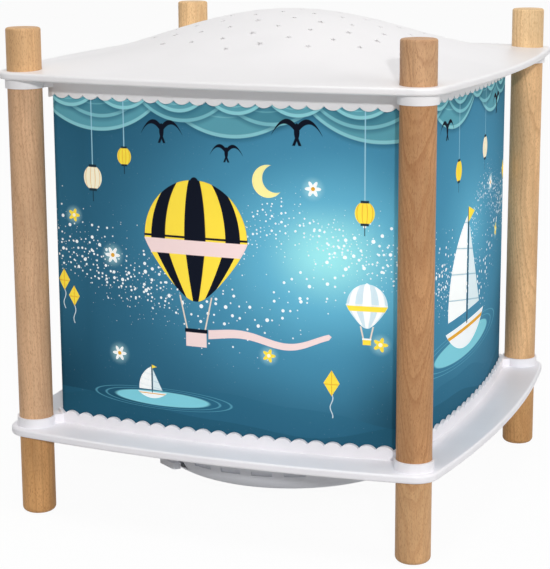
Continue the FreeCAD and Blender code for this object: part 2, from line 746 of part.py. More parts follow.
def make_base_plate():
    """Plate with a bullnose rim, furniture above and screw bosses below."""
    body = new_body("plain_base_plate")
    outline = new_sketch(body, offset=BASE_BOTTOM)
    draw_bowed_square(outline, POST, "plate_corner_radius", "plate_bow")
    pad(body, outline, "base_thickness")
    round_edges(body, "rim_radius", lambda edge: edge.BoundBox.ZLength < 1e-4)
    bosses = new_sketch(body, offset=BASE_BOTTOM)
    pilots = new_sketch(body, offset=BOSS_BOTTOM)
    for where in HOUSING_POSTS:
        draw_circle(bosses, *where, "boss_radius")
        draw_circle(pilots, *where, "screw_radius + screw_bite")
    pad(body, bosses, "boss_depth", True)
    pocket(body, pilots, "boss_depth", True)
    board_bosses = new_sketch(body, offset=BASE_BOTTOM)
    board_pilots = new_sketch(body, offset=BOARD_TOP)
    openings = new_sketch(body, offset=BASE_TOP)
    small_pilot = "small_screw_radius + screw_bite"
    for sign in (-1, 1):
        draw_circle(board_bosses, f"{sign} * board_screw_x", "board_screw_y", "board_boss_radius")
        draw_circle(board_pilots, f"{sign} * board_screw_x", "board_screw_y", small_pilot)
        draw_circle(openings, MOTOR_X, f"{sign} * ear_reach", small_pilot)
        draw_circle(openings, CELL_X, f"{sign} * holder_screw_y", small_pilot)
    pad(body, board_bosses, "board_drop", True)
    pocket(body, board_pilots, "small_screw_length", True)
    draw_circle(openings, "0", "0", "axle_bore")
    draw_circle(openings, MOTOR_X, "0",
                "gear_module * (pinion_teeth / 2 + tooth_addendum) + pinion_hole_fit")
    for angle in COLUMN_SCREW_ANGLES:
        draw_circle(openings, f"column_screw_circle * cos({angle})", f"column_screw_circle * sin({angle})",
                    small_pilot)
    pocket(body, openings, "base_thickness")
    furnish_plate(body, BASE_TOP, "base_skirt_height", 1)
    tools = scallop_combs(mm(f"{BASE_TOP} + base_skirt_height"), 1)
    tools += corner_cylinders("stud_radius + stud_hole_fit", BASE_BOTTOM, f"{BASE_TOP} + collar_height")
    cut_by_tools("base_plate", body, tools)


def make_screen():
    """The printed sheet: a thin bowed square tube that stands between the skirts and the ribs."""
    body = new_body("picture_screen")
    outline = new_sketch(body, offset=BASE_TOP)
    draw_bowed_square(outline, SKIRT_CORNER, SCREEN_OUTER, "skirt_bow")
    draw_bowed_square(outline, SKIRT_CORNER, SCREEN_INNER, "skirt_bow")
    pad(body, outline, "column_length - screen_end_gap")
    keep(body)


# ---- light column and lamp head --------------------------------------------------------------

def make_light_column():
    """Flanged tube that is the drum's axle and carries the lamp head."""
    flange_top = f"({BASE_TOP} + flange_thickness)"
    body = turned("light_column", (
        ("axle_bore", BASE_TOP), ("flange_radius", BASE_TOP), ("flange_radius", flange_top),
        ("shoulder_radius", flange_top), ("shoulder_radius", SHOULDER_TOP), ("axle_radius", SHOULDER_TOP),
        ("axle_radius", AXLE_TOP), ("axle_bore", AXLE_TOP)))
    holes = new_sketch(body, offset=flange_top)
    for angle in COLUMN_SCREW_ANGLES:
        draw_circle(holes, f"column_screw_circle * cos({angle})", f"column_screw_circle * sin({angle})",
                    "small_screw_radius + screw_hole_fit")
    pocket(body, holes, "flange_thickness")
    keep(body)
    keep(ring("thrust_washer", BUSH_INNER, "shoulder_radius", SHOULDER_TOP,
              f"{SHOULDER_TOP} + washer_thickness"))


def make_lamp_head():
    """Carrier plugged into the column, LED board, LED chips and frosted diffuser."""
    spigot = "(axle_bore - running_fit)"
    keep(turned("lamp_carrier", (
        ("lead_hole_radius", f"{AXLE_TOP} - spigot_length"), (spigot, f"{AXLE_TOP} - spigot_length"),
        (spigot, AXLE_TOP), ("carrier_radius", AXLE_TOP), ("carrier_radius", CARRIER_TOP),
        ("lead_hole_radius", CARRIER_TOP))))
    board = turned("lamp_board", (("0", CARRIER_TOP), ("lamp_board_radius", CARRIER_TOP),
                                  ("lamp_board_radius", LAMP_BOARD_TOP), ("0", LAMP_BOARD_TOP)))
    keep(board)
    chip = doc.addObject("Part::Box", "led_chip")
    for side in ("Length", "Width"):
        chip.setExpression(side, formula("led_side"))
    chip.setExpression("Height", formula("led_height"))
    place(chip, "-led_side / 2", "-led_side / 2")
    doc.recompute()
    count = int(mm("led_count"))
    circle, places = mm("led_circle"), []
    for number in range(count):
        angle = math.radians(360 * number / count)
        places.append(at(circle * math.cos(angle), circle * math.sin(angle), mm(LAMP_BOARD_TOP),
                         math.degrees(angle)))
    copies("led_chips", chip, places)
    shells = []
    for layer, radius in (("outer", "diffuser_radius"), ("inner", "(diffuser_radius - diffuser_wall)")):
        wall = doc.addObject("Part::Cylinder", f"diffuser_{layer}_wall")
        wall.setExpression("Radius", formula(radius))
        wall.setExpression("Height", formula("diffuser_straight"))
        place(wall, z=CARRIER_TOP)
        cap = doc.addObject("Part::Sphere", f"diffuser_{layer}_cap")
        cap.setExpression("Radius", formula(radius))
        cap.Angle1 = 0
        place(cap, z=f"{CARRIER_TOP} + diffuser_straight")
        shell = doc.addObject("Part::Fuse", f"diffuser_{layer}")
        shell.Base, shell.Tool = wall, cap
        shells.append(shell)
    diffuser = doc.addObject("Part::Cut", "light_diffuser")
    diffuser.Base, diffuser.Tool = shells
    doc.recompute()
    keep(diffuser, "light_diffuser")


# ---- picture drum ----------------------------------------------------------------------------

def make_turntable():
    """Spoked wheel with a hub, a disc that carries the gear, six arms and a lipped rim."""
    body = turned("turntable", (
        (HUB_INNER, DRUM_BOTTOM), (HUB_OUTER, DRUM_BOTTOM), (HUB_OUTER, DISC_BOTTOM),
        (DRUM_RADIUS, DISC_BOTTOM), (DRUM_RADIUS, DISC_TOP), (LIP_OUTER, DISC_TOP),
        (LIP_OUTER, f"{DISC_TOP} + drum_lip_height"), (LIP_INNER, f"{DISC_TOP} + drum_lip_height"),
        (LIP_INNER, DISC_TOP), (HUB_OUTER, DISC_TOP), (HUB_OUTER, f"{DRUM_BOTTOM} + hub_length"),
        (HUB_INNER, f"{DRUM_BOTTOM} + hub_length")))
    window = new_sketch(body, offset=DISC_TOP)
    half = "(180 / arm_count - arm_half_angle)"
    inner, outer = "web_disc_radius", f"({DRUM_RADIUS} - drum_rim_width)"
    half_angle = math.radians(mm(half))
    centre = Vector(0, 0, 0)
    arcs = [window.addGeometry(Part.ArcOfCircle(Part.Circle(centre, Vector(0, 0, 1), mm(radius)),
                                                -half_angle, half_angle)) for radius in (inner, outer)]
    for arc, radius in zip(arcs, (inner, outer)):
        bind_radius(window, arc, radius)
        window.addConstraint(Sketcher.Constraint("Coincident", arc, 3, -1, 1))
    for end, sign in ((1, -1), (2, 1)):
        points = [Vector(mm(radius) * math.cos(half_angle), sign * mm(radius) * math.sin(half_angle), 0)
                  for radius in (inner, outer)]
        line = window.addGeometry(Part.LineSegment(*points))
        window.addConstraint(Sketcher.Constraint("Coincident", line, 1, arcs[0], end))
        window.addConstraint(Sketcher.Constraint("Coincident", line, 2, arcs[1], end))
        for vertex, radius in ((1, inner), (2, outer)):
            number = window.addConstraint(Sketcher.Constraint(
                "DistanceY", -1, 1, line, vertex, sign * mm(radius) * math.sin(half_angle)))
            window.setExpression(f"Constraints[{number}]", formula(f"{sign} * {radius} * sin({half})"))
    opening = pocket(body, window, "disc_thickness")
    pattern(body, opening, "PolarPattern", "Z_Axis", "360", "arm_count")
    keep(body)


def flank_points(module, teeth, thickness_angle, inner, outer):
    """Radius and angle from the tooth's middle along an involute flank; a radial line below the
    base circle."""
    pressure = math.radians(20)
    pitch_radius = module * teeth / 2
    base = pitch_radius * math.cos(pressure)
    points = []
    if inner < base:
        points.append((inner, thickness_angle + math.tan(pressure) - pressure))
    steps = 5
    start = max(inner, base)
    for number in range(steps):
        radius = start + (outer - start) * number / (steps - 1)
        roll = math.acos(min(1.0, base / radius))
        involute = math.tan(roll) - roll
        points.append((radius, thickness_angle + math.tan(pressure) - pressure - involute))
    return points


def gear_face(teeth, phase):
    """Outline of a spur gear about the Z axis, with one tooth's middle at the phase angle."""
    module = mm("gear_module")
    pitch_radius = module * teeth / 2
    outer = pitch_radius + module * mm("tooth_addendum")
    inner = pitch_radius - module * mm("tooth_dedendum")
    thickness_angle = (math.pi * module / 2 - mm("backlash")) / (2 * pitch_radius)
    flank = flank_points(module, teeth, thickness_angle, inner, outer)

    def polar(radius, angle):
        return Vector(radius * math.cos(angle), radius * math.sin(angle), 0)

    points = []
    for number in range(teeth):
        middle = phase + 2 * math.pi * number / teeth
        points += [polar(radius, middle - angle) for radius, angle in flank]
        points += [polar(radius, middle + angle) for radius, angle in reversed(flank)]
    return Part.Face(Part.makePolygon(points + points[:1]))


def make_gears():
    """Drum gear under the turntable's disc, and the pinion on the motor's shaft in mesh with it."""
    teeth, pinion_teeth = int(mm("drum_teeth")), int(mm("pinion_teeth"))
    # the mesh line points from the drum's axis to the motor's: a gap of the drum gear lies on it
    mesh = math.pi
    drum_phase = mesh + math.pi / teeth
    gear = gear_face(teeth, drum_phase).extrude(Vector(0, 0, mm("gear_width")))
    gear.translate(Vector(0, 0, mm(DRUM_BOTTOM)))
    bore = Part.makeCylinder(mm(f"{HUB_OUTER} + press_fit"), mm("gear_width"), Vector(0, 0, mm(DRUM_BOTTOM)))
    keep(shaped("drum_gear", gear.cut(bore)))
    low, high = mm(f"{DRUM_BOTTOM} - pinion_gap"), mm(f"{DISC_BOTTOM} - pinion_gap")
    pinion = gear_face(pinion_teeth, 0.0).extrude(Vector(0, 0, high - low))
    pinion.translate(Vector(0, 0, low))
    bore = Part.makeCylinder(mm("shaft_radius + press_fit"), high - low, Vector(0, 0, low))
    pinion = pinion.cut(bore)
    pinion.translate(Vector(mm(MOTOR_X), 0, 0))
    keep(shaped("motor_pinion", pinion))


def make_drum():
    """Bush, film cylinder with the moving pictures, and the hoop that keeps its top round."""
    keep(ring("hub_bush", BUSH_INNER, BUSH_OUTER, DRUM_BOTTOM, f"{DRUM_BOTTOM} + hub_length"))
    keep(ring("picture_cylinder", FILM_INNER, FILM_OUTER, DISC_TOP, FILM_TOP))
    keep(turned("drum_hoop", (
        (LIP_INNER, f"{FILM_TOP} - hoop_height"), (LIP_OUTER, f"{FILM_TOP} - hoop_height"),
        (LIP_OUTER, FILM_TOP), (FILM_OUTER, FILM_TOP), (FILM_OUTER, f"{FILM_TOP} + hoop_flange"),
        (LIP_INNER, f"{FILM_TOP} + hoop_flange"))))


# ---- gear motor ------------------------------------------------------------------------------

def make_gear_motor():
    """Gearbox with two ears under the base plate, flat motor can below it and the output shaft."""
    bore = "(shaft_radius + running_fit)"
    case = new_body("gearbox_case")
    drum = new_sketch(case, offset=GEARBOX_BOTTOM)
    draw_circle(drum, MOTOR_X, "0", "gearbox_radius")
    pad(case, drum, "gearbox_height")
    strap = new_sketch(case, offset=f"{BASE_BOTTOM} - ear_thickness")
    draw_rectangle(strap, f"{MOTOR_X} - ear_radius", f"{MOTOR_X} + ear_radius", "-ear_reach", "ear_reach")
    pad(case, strap, "ear_thickness")
    ears = new_sketch(case, offset=f"{BASE_BOTTOM} - ear_thickness")
    for reach in ("ear_reach", "-ear_reach"):
        draw_circle(ears, MOTOR_X, reach, "ear_radius")
    pad(case, ears, "ear_thickness")
    holes = new_sketch(case, offset=BASE_BOTTOM)
    for reach in ("ear_reach", "-ear_reach"):
        draw_circle(holes, MOTOR_X, reach, "small_screw_radius + screw_hole_fit")
    pocket(case, holes, "ear_thickness")
    well = new_sketch(case, offset=BASE_BOTTOM)
    draw_circle(well, MOTOR_X, "0", bore)
    pocket(case, well, "shaft_depth")
    keep(case)
    can = turned("motor_can", (
        ("0", "0"), ("motor_radius", "0"), ("motor_radius", "motor_height"), ("0", "motor_height")))
    round_edges(can, "knob_edge", at_height(0))
    place(can, MOTOR_X, z=f"{GEARBOX_BOTTOM} - motor_height")
    keep(can)
    shaft_bottom = f"({BASE_BOTTOM} - shaft_depth + axial_play)"
    shaft = turned("motor_shaft", (
        ("0", shaft_bottom), ("shaft_radius", shaft_bottom), ("shaft_radius", f"{DISC_BOTTOM} - pinion_gap"),
        ("0", f"{DISC_BOTTOM} - pinion_gap")))
    place(shaft, MOTOR_X)
    keep(shaft)


# ---- drive housing ---------------------------------------------------------------------------

def make_housing():
    """Round bowl with a large bottom radius, grooves round its side, four screw posts, a shelf for
    the switch, a window for its lever and a port for the charging socket."""
    body = turned("drive_housing", (
        ("0", HOUSING_BOTTOM), (HOUSING_OUTSIDE, HOUSING_BOTTOM), (HOUSING_OUTSIDE, BASE_BOTTOM),
        (HOUSING_INSIDE, BASE_BOTTOM), (HOUSING_INSIDE, HOUSING_FLOOR), ("0", HOUSING_FLOOR)))
    round_edges(body, "housing_edge", at_height(mm(HOUSING_BOTTOM)))
    round_edges(body, "housing_edge - housing_wall", at_height(mm(HOUSING_FLOOR)))
    shelf = new_sketch(body, offset=f"{HOUSING_FLOOR} - housing_wall / 4", turn="switch_azimuth")
    draw_rectangle(shelf, SWITCH_REACH, f"{SWITCH_REACH} + switch_depth",
                   "(lever_travel - switch_width) / 2", "(lever_travel + switch_width) / 2")
    pad(body, shelf, "housing_wall / 4 + switch_shelf")
    posts = new_sketch(body, offset=f"{HOUSING_BOTTOM} + housing_wall / 2")
    counterbores = new_sketch(body, offset=HOUSING_BOTTOM)
    clearances = new_sketch(body, offset=HOUSING_BOTTOM)
    for sketch, radius in ((posts, "housing_post_radius"),
                           (counterbores, "screw_head_radius + screw_hole_fit"),
                           (clearances, "screw_radius + screw_hole_fit")):
        for where in HOUSING_POSTS:
            draw_circle(sketch, *where, radius)
    pad(body, posts, f"{BOSS_BOTTOM} - {HOUSING_BOTTOM} - housing_wall / 2")
    pocket(body, counterbores, "counterbore_depth", True)
    pocket(body, clearances, "housing_depth", True)
    port = new_sketch(body, "XZ_Plane", f"-({HOUSING_OUTSIDE} - housing_edge / 2)")
    port_middle = f"({BOARD_TOP} + socket_height / 2)"
    draw_rectangle(port, "-socket_width / 2 - port_margin", "socket_width / 2 + port_margin",
                   f"{port_middle} - socket_height / 2 - port_margin",
                   f"{port_middle} + socket_height / 2 + port_margin")
    pocket(body, port, "housing_edge")
    window = new_sketch(body, "XZ_Plane", f"({SWITCH_REACH} + switch_depth)", "switch_azimuth - 270")
    half_width = "(lever_stem_width / 2 + lever_window_gap)"
    half_height = "(lever_stem_height / 2 + lever_window_gap)"
    draw_rectangle(window, f"-{half_width}", f"{half_width} + lever_travel",
                   f"{LEVER_HEIGHT} - {half_height}", f"{LEVER_HEIGHT} + {half_height}")
    pocket(body, window, "housing_edge", True)
    groove_middle = f"({HOUSING_BOTTOM} + groove_height)"
    for first, count in (("groove_first", "groove_count"), ("groove_rear_first", "groove_rear_count")):
        groove = new_sketch(body, "XZ_Plane", f"({HOUSING_OUTSIDE} - groove_inset)", f"{first} - 270")
        draw_rectangle(groove, "-groove_length / 2", "groove_length / 2",
                       f"{groove_middle} - groove_width / 2", f"{groove_middle} + groove_width / 2")
        cut = pocket(body, groove, "housing_edge", True)
        pattern(body, cut, "PolarPattern", "Z_Axis", f"groove_step * ({count} - 1)", count)
    keep(body)


# ---- electronics -----------------------------------------------------------------------------

def make_circuit_board():
    """Board under the base plate's bosses, with a controller, a capacitor and the socket."""
    body = new_body("circuit_board")
    outline = new_sketch(body, offset=BOARD_BOTTOM)
    draw_rectangle(outline, "-board_width / 2", "board_width / 2",
                   "board_front", "board_front + board_length")
    for sign in (-1, 1):
        draw_circle(outline, f"{sign} * board_screw_x", "board_screw_y",
                    "small_screw_radius + screw_hole_fit")
    pad(body, outline, "board_thickness")
    keep(body)
    chip = doc.addObject("Part::Box", "controller_chip")
    chip.setExpression("Length", formula("chip_side"))
    chip.setExpression("Width", formula("chip_side"))
    chip.setExpression("Height", formula("chip_height"))
    place(chip, "-chip_side / 2", "board_front + board_length / 2 - chip_side / 2", BOARD_TOP)
    capacitor = doc.addObject("Part::Cylinder", "capacitor_can")
    capacitor.setExpression("Radius", formula("capacitor_radius"))
    capacitor.setExpression("Height", formula("capacitor_height"))
    place(capacitor, "board_width / 2 - 2 * capacitor_radius",
          "board_front + board_length - 4 * capacitor_radius",
          BOARD_TOP)
    components = doc.addObject("Part::Compound", "board_components")
    components.Links = [chip, capacitor]
    doc.recompute()
    keep(components)


def make_charging_socket():
    """Metal shell of the charging socket, open to the rear, with its contact tongue."""
    body = new_body("charging_socket")
    outline = new_sketch(body, offset=BOARD_TOP)
    draw_rectangle(outline, "-socket_width / 2", "socket_width / 2",
                   f"{SOCKET_END} - socket_length", SOCKET_END)
    pad(body, outline, "socket_height")
    length = mm("socket_length")
    round_edges(body, "socket_round", lambda edge: abs(edge.BoundBox.YLength - length) < 1e-4)
    mouth = new_sketch(body, "XZ_Plane", offset=f"-{SOCKET_END}")
    middle = f"({BOARD_TOP} + socket_height / 2)"
    for half_width, half_height in (
            ("(socket_width / 2 - socket_wall)", "(socket_height / 2 - socket_wall)"),
            ("(socket_width / 2 - socket_round)", "(socket_tongue / 2)")):
        draw_rectangle(mouth, f"-{half_width}", half_width, f"{middle} - {half_height}",
                       f"{middle} + {half_height}")
    pocket(body, mouth, "socket_length - socket_round", True)
    keep(body)


def make_cell():
    """Round rechargeable cell, the holder that snaps over it and a spring clip at each end."""
    cell = turned("battery_cell", (
        ("0", "0"), ("cell_radius", "0"), ("cell_radius", "cell_length"), ("cell_nub_radius", "cell_length"),
        ("cell_nub_radius", "cell_length + cell_nub_height"), ("0", "cell_length + cell_nub_height")))
    cell.Placement = Placement(Vector(0, 0, 0), Rotation(Vector(1, 0, 0), -90))
    place(cell, CELL_X, "-cell_length / 2", CELL_HEIGHT)
    keep(cell)
    front = "(-cell_length / 2 - clip_thickness)"
    holder = new_body("cell_holder")
    outline = new_sketch(holder, offset=f"{CELL_HEIGHT} - holder_lip")
    draw_rectangle(outline, f"{CELL_X} - {HOLDER_HALF}", f"{CELL_X} + {HOLDER_HALF}",
                   f"{front} - holder_wall", f"{CELL_REAR} + holder_wall")
    pad(holder, outline, "cell_drop + holder_lip")
    trough = new_sketch(holder, "XZ_Plane", offset=f"-{CELL_REAR}")
    draw_circle(trough, CELL_X, CELL_HEIGHT, CELL_BORE)
    pocket(holder, trough, f"{CELL_REAR} - {front}", True)
    for radius, depth in (("small_head_radius + screw_hole_fit", f"{CELL_BORE} + small_head_height"),
                          ("small_screw_radius + screw_hole_fit", "cell_drop")):
        holes = new_sketch(holder, offset=CELL_HEIGHT)
        for sign in (-1, 1):
            draw_circle(holes, CELL_X, f"{sign} * holder_screw_y", radius)
        pocket(holder, holes, depth, True)
    keep(holder)
    clip = doc.addObject("Part::Box", "cell_clip")
    clip.setExpression("Length", formula("clip_width"))
    clip.setExpression("Width", formula("clip_thickness"))
    clip.setExpression("Height", formula("clip_above + clip_below"))
    place(clip, "-clip_width / 2", "0", "-clip_below")
    doc.recompute()
    copies("cell_clips", clip, [at(mm(CELL_X), mm(y), mm(CELL_HEIGHT))
                                for y in (front, f"{CELL_REAR} - clip_thickness")])


def make_switch():
    """Slide switch on the housing's shelf, and its lever with a thumb tab outside the wall."""
    case = new_body("switch_case")
    outline = new_sketch(case, offset=SWITCH_BOTTOM)
    draw_rectangle(outline, SWITCH_REACH, f"{SWITCH_REACH} + switch_depth",
                   "(lever_travel - switch_width) / 2", "(lever_travel + switch_width) / 2")
    pad(case, outline, "switch_height")
    slot = new_sketch(case, "YZ_Plane", offset=f"{SWITCH_REACH} + switch_depth")
    half_width, half_height = "(lever_stem_width / 2 + lever_fit)", "(lever_stem_height / 2 + lever_fit)"
    draw_rectangle(slot, f"-{half_width}", f"{half_width} + lever_travel",
                   f"{LEVER_HEIGHT} - {half_height}", f"{LEVER_HEIGHT} + {half_height}")
    pocket(case, slot, "switch_depth - switch_skin")
    turn_about_z(case, "switch_azimuth")
    keep(case)
    lever = new_body("switch_lever")
    tab_start = f"({HOUSING_OUTSIDE} - lever_tab_inset)"
    stem = new_sketch(lever, offset=f"{LEVER_HEIGHT} - lever_stem_height / 2")
    draw_rectangle(stem, f"{SWITCH_REACH} + switch_skin + lever_fit", tab_start,
                   "-lever_stem_width / 2", "lever_stem_width / 2")
    pad(lever, stem, "lever_stem_height")
    tab = new_sketch(lever, offset=f"{LEVER_HEIGHT} - lever_tab_height / 2")
    draw_rectangle(tab, tab_start, f"{tab_start} + lever_tab_length",
                   "-lever_tab_width / 2", "lever_tab_width / 2")
    pad(lever, tab, "lever_tab_height")
    tip, height = mm(f"{tab_start} + lever_tab_length"), mm("lever_tab_height")
    round_edges(lever, "lever_tab_round", lambda edge: edge.BoundBox.XMin > tip - 1e-3
                and edge.BoundBox.ZLength > height - 1e-3)
    top = mm(f"{LEVER_HEIGHT} + lever_tab_height / 2")
    round_edges(lever, "lever_tab_edge", lambda edge: at_height(top)(edge)
                and edge.BoundBox.XMax > mm(tab_start) + 1e-3)
    turn_about_z(lever, "switch_azimuth")
    keep(lever)


# ---- screws ----------------------------------------------------------------------------------

def make_screw(name, radius, length, head_radius, head_height):
    """Screw that points up from Z = 0, its head below with a cross recess."""
    screw = turned(name, (
        ("0", f"-{head_height}"), (head_radius, f"-{head_height}"), (head_radius, "0"), (radius, "0"),
        (radius, length), ("0", length)))
    half_length, half_width = f"({head_radius} * 0.6)", f"({head_radius} * 0.14)"
    for long_x in (True, False):
        half_x, half_y = (half_length, half_width) if long_x else (half_width, half_length)
        recess = new_sketch(screw, offset=f"-{head_height}")
        draw_rectangle(recess, f"-{half_x}", half_x, f"-{half_y}", half_y)
        pocket(screw, recess, f"{head_height} / 2", True)
    return screw


def make_screws():
    """Groups of screws, one node for each joint that they hold."""
    large = make_screw("large_screw", "screw_radius", "screw_length", "screw_head_radius",
                       "screw_head_height")
    small = make_screw("small_screw", "small_screw_radius", "small_screw_length", "small_head_radius",
                       "small_head_height")
    copies("housing_screws", large, [
        at(mm(x), mm(y), mm(f"{HOUSING_BOTTOM} + counterbore_depth")) for x, y in HOUSING_POSTS])
    circle = mm("column_screw_circle")
    copies("column_screws", small, [
        at(circle * math.cos(math.radians(angle)), circle * math.sin(math.radians(angle)),
           mm(f"{BASE_TOP} + flange_thickness"), flip=True) for angle in COLUMN_SCREW_ANGLES])
    copies("motor_screws", small, [
        at(mm(MOTOR_X), sign * mm("ear_reach"), mm(f"{BASE_BOTTOM} - ear_thickness")) for sign in (-1, 1)])
    copies("board_screws", small, [
        at(sign * mm("board_screw_x"), mm("board_screw_y"), mm(BOARD_BOTTOM)) for sign in (-1, 1)])
    copies("holder_screws", small, [
        at(mm(CELL_X), sign * mm("holder_screw_y"),
           mm(f"{CELL_HEIGHT} + {CELL_BORE} + small_head_height")) for sign in (-1, 1)])


# ---- internal leads --------------------------------------------------------------------------

def lead(points):
    """Round wire along straight runs joined by equal bends."""
    bend, radius = mm("lead_bend"), mm("lead_radius")
    edges, start = [], points[0]
    for before, corner, after in zip(points, points[1:], points[2:]):
        back, ahead = (before - corner).normalize(), (after - corner).normalize()
        half = back.getAngle(ahead) / 2
        leave, join = corner + back * (bend / math.tan(half)), corner + ahead * (bend / math.tan(half))
        middle = (back + ahead).normalize()
        inner = corner + middle * (bend / math.sin(half) - bend)
        edges += [Part.makeLine(start, leave), Part.Arc(leave, inner, join).toShape()]
        start = join
    edges.append(Part.makeLine(start, points[-1]))
    section = Part.Face(Part.Wire(Part.makeCircle(radius, points[0], points[1] - points[0])))
    return Part.Wire(edges).makePipe(section)


def make_leads():
    """Insulated wires from the board to the lamp, the motor, the cell and the switch."""
    spacing = mm("lead_spacing")
    front = mm("board_front")
    above, below = mm(BOARD_TOP), mm(BOARD_BOTTOM)
    side = mm("board_width / 2 - lead_spacing / 2")
    bridge, run = above + mm("lead_rise"), below - mm("lead_drop")
    lamp = [lead([Vector(x, front + spacing, above), Vector(x, front + spacing, bridge),
                  Vector(x, 0, bridge), Vector(x, 0, mm(CARRIER_TOP))]) for x in (-spacing / 2, spacing / 2)]
    keep(shaped("lamp_leads", Part.makeCompound(lamp)))
    motor_x, can = mm(MOTOR_X), mm("motor_radius")
    motor = []
    for sign in (-1, 1):
        x, y = motor_x + sign * spacing / 2, front + 3.5 * spacing - sign * spacing / 2
        end = math.sqrt(can ** 2 - (spacing / 2) ** 2)
        motor.append(lead([Vector(-side, y, below), Vector(-side, y, run), Vector(x, y, run),
                           Vector(x, end, run)]))
    keep(shaped("motor_leads", Part.makeCompound(motor)))
    cell_x, level = mm(CELL_X), mm(f"{CELL_HEIGHT} - cell_lead_drop")
    reach = mm("cell_lead_reach")
    rear = mm(CELL_REAR)
    front_end = mm("-cell_length / 2 - clip_thickness")
    aisle = mm(f"{CELL_X} - {HOLDER_HALF} - lead_spacing")
    plus_y, minus_y = rear + reach, rear + reach - spacing
    cell = [lead([Vector(cell_x, rear, level), Vector(cell_x, plus_y, level), Vector(side, plus_y, level),
                  Vector(side, plus_y, below)]),
            lead([Vector(cell_x, front_end, level), Vector(cell_x, front_end - reach, level),
                  Vector(aisle, front_end - reach, level), Vector(aisle, minus_y, level),
                  Vector(side, minus_y, level), Vector(side, minus_y, below)])]
    keep(shaped("cell_leads", Part.makeCompound(cell)))
    azimuth = math.radians(mm("switch_azimuth"))
    outward = Vector(math.cos(azimuth), math.sin(azimuth), 0)
    sideways = Vector(-math.sin(azimuth), math.cos(azimuth), 0)
    switch, level = [], mm(LEVER_HEIGHT)
    for number in range(2):
        start = outward * mm(SWITCH_REACH) + sideways * (spacing * (number - 0.75)) + Vector(0, 0, level)
        x = spacing * (number - 2)
        turn = start - outward * ((start.x - x) / outward.x)
        y = front + 2.3 * spacing
        switch.append(lead([start, turn, Vector(x, y, level), Vector(x, y, below)]))
    keep(shaped("switch_leads", Part.makeCompound(switch)))


def save_parts():
    """Check every object of the document and write each sub-part to its own file."""
    doc.recompute()
    for item in doc.Objects:
        if {"Invalid", "Error"} & set(item.State):
            raise ValueError(f"{item.Name} failed: {item.State}")
    os.makedirs("parts", exist_ok=True)
    for item in SUB_PARTS:
        if item.Shape.isNull() or not item.Shape.isValid():
            raise ValueError(f"{item.Label} has no valid shape")
        item.Shape.exportStep(f"parts/{item.Label}.step")
        print(f"{item.Label}: {len(item.Shape.Solids)} solid(s), {item.Shape.Volume:.1f} mm3")


def main():
    for corner in CORNERS:
        make_foot(*corner)
        make_column(*corner)
        make_knob(*corner)
    make_studs("lower_studs", "base_thickness", BASE_BOTTOM)
    make_studs("upper_studs", "top_thickness", TOP_UNDERSIDE)
    make_base_plate()
    make_top_plate()
    make_screen()
    make_light_column()
    make_lamp_head()
    make_turntable()
    make_gears()
    make_drum()
    make_gear_motor()
    make_housing()
    make_circuit_board()
    make_charging_socket()
    make_cell()
    make_switch()
    make_screws()
    make_leads()
    save_parts()


main()
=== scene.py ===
# %% [markdown]
# # A rotating motion lamp
# The lamp is a square lantern. Four turned beech posts carry two white moulded plates, a printed
# sheet is bent round the space between them, and a picture drum turns inside it about a lamp.
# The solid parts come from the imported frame, so this lesson is about their looks: wood, moulded
# plastic, print and metal, each worked out with shader nodes, and plain studio light.

# %% Load the lamp's frame
import copy
import math

import bpy
import numpy as np
from mathutils import Matrix, Vector

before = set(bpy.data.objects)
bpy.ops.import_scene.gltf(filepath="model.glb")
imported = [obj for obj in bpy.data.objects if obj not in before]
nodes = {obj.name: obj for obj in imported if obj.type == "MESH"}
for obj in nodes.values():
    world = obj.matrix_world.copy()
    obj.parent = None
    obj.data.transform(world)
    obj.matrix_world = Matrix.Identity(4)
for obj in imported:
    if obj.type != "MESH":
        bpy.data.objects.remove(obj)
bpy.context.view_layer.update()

# %% [markdown]
# ## The camera
# The camera stands in front of the lamp, a little to its right and above it, and looks slightly
# down. A long lens keeps the posts nearly parallel. The camera is placed by its azimuth, elevation
# and distance from a point near the lamp's middle, which is easier to read than a bare matrix.

# %% Place the camera
AZIMUTH, ELEVATION, ROLL = 0.37958, 0.22081, -0.0052
TARGET = Vector((-0.00716, 0.0, 0.08008))
DISTANCE, NEAREST_SEEN = 0.7385, 0.01
FOCAL_PIXELS, LONG_SIDE, SENSOR = 1800.2, 569, 36.0


def camera_axes(azimuth, elevation, roll):
    """Right, up and back directions of a camera on a sphere, rolled about its view line."""
    back = Vector((math.sin(azimuth) * math.cos(elevation), -math.cos(azimuth) * math.cos(elevation),
                   math.sin(elevation)))
    right = Vector((math.cos(azimuth), math.sin(azimuth), 0.0))
    up = back.cross(right)
    return (right * math.cos(roll) + up * math.sin(roll),
            up * math.cos(roll) - right * math.sin(roll), back)


scene = bpy.context.scene
right, up, back = camera_axes(AZIMUTH, ELEVATION, ROLL)
facing = Matrix((right, up, back)).transposed().to_4x4()
camera = bpy.data.objects.new("camera", bpy.data.cameras.new("camera"))
scene.collection.objects.link(camera)
camera.matrix_world = Matrix.Translation(TARGET + back * DISTANCE) @ facing
camera.data.sensor_width = SENSOR
camera.data.lens = FOCAL_PIXELS / LONG_SIDE * SENSOR
camera.data.clip_start = NEAREST_SEEN
scene.camera = camera
print("camera at", [round(value, 3) for value in camera.location], "lens", round(camera.data.lens, 1))

# %% [markdown]
# ## Shader maths as Python
# A pattern is a formula on the point being shaded. `Value` wraps one output of a node, so that
# `1 - mask` or `x * 2` adds the Math nodes by itself. Written out by hand, the picture on the sheet
# would take thousands of lines that all say which socket goes where.

# %% A value and its operators
def maths(operation):
    """An operator that adds one Math node."""
    return lambda value, *others: value.math(operation, *others)


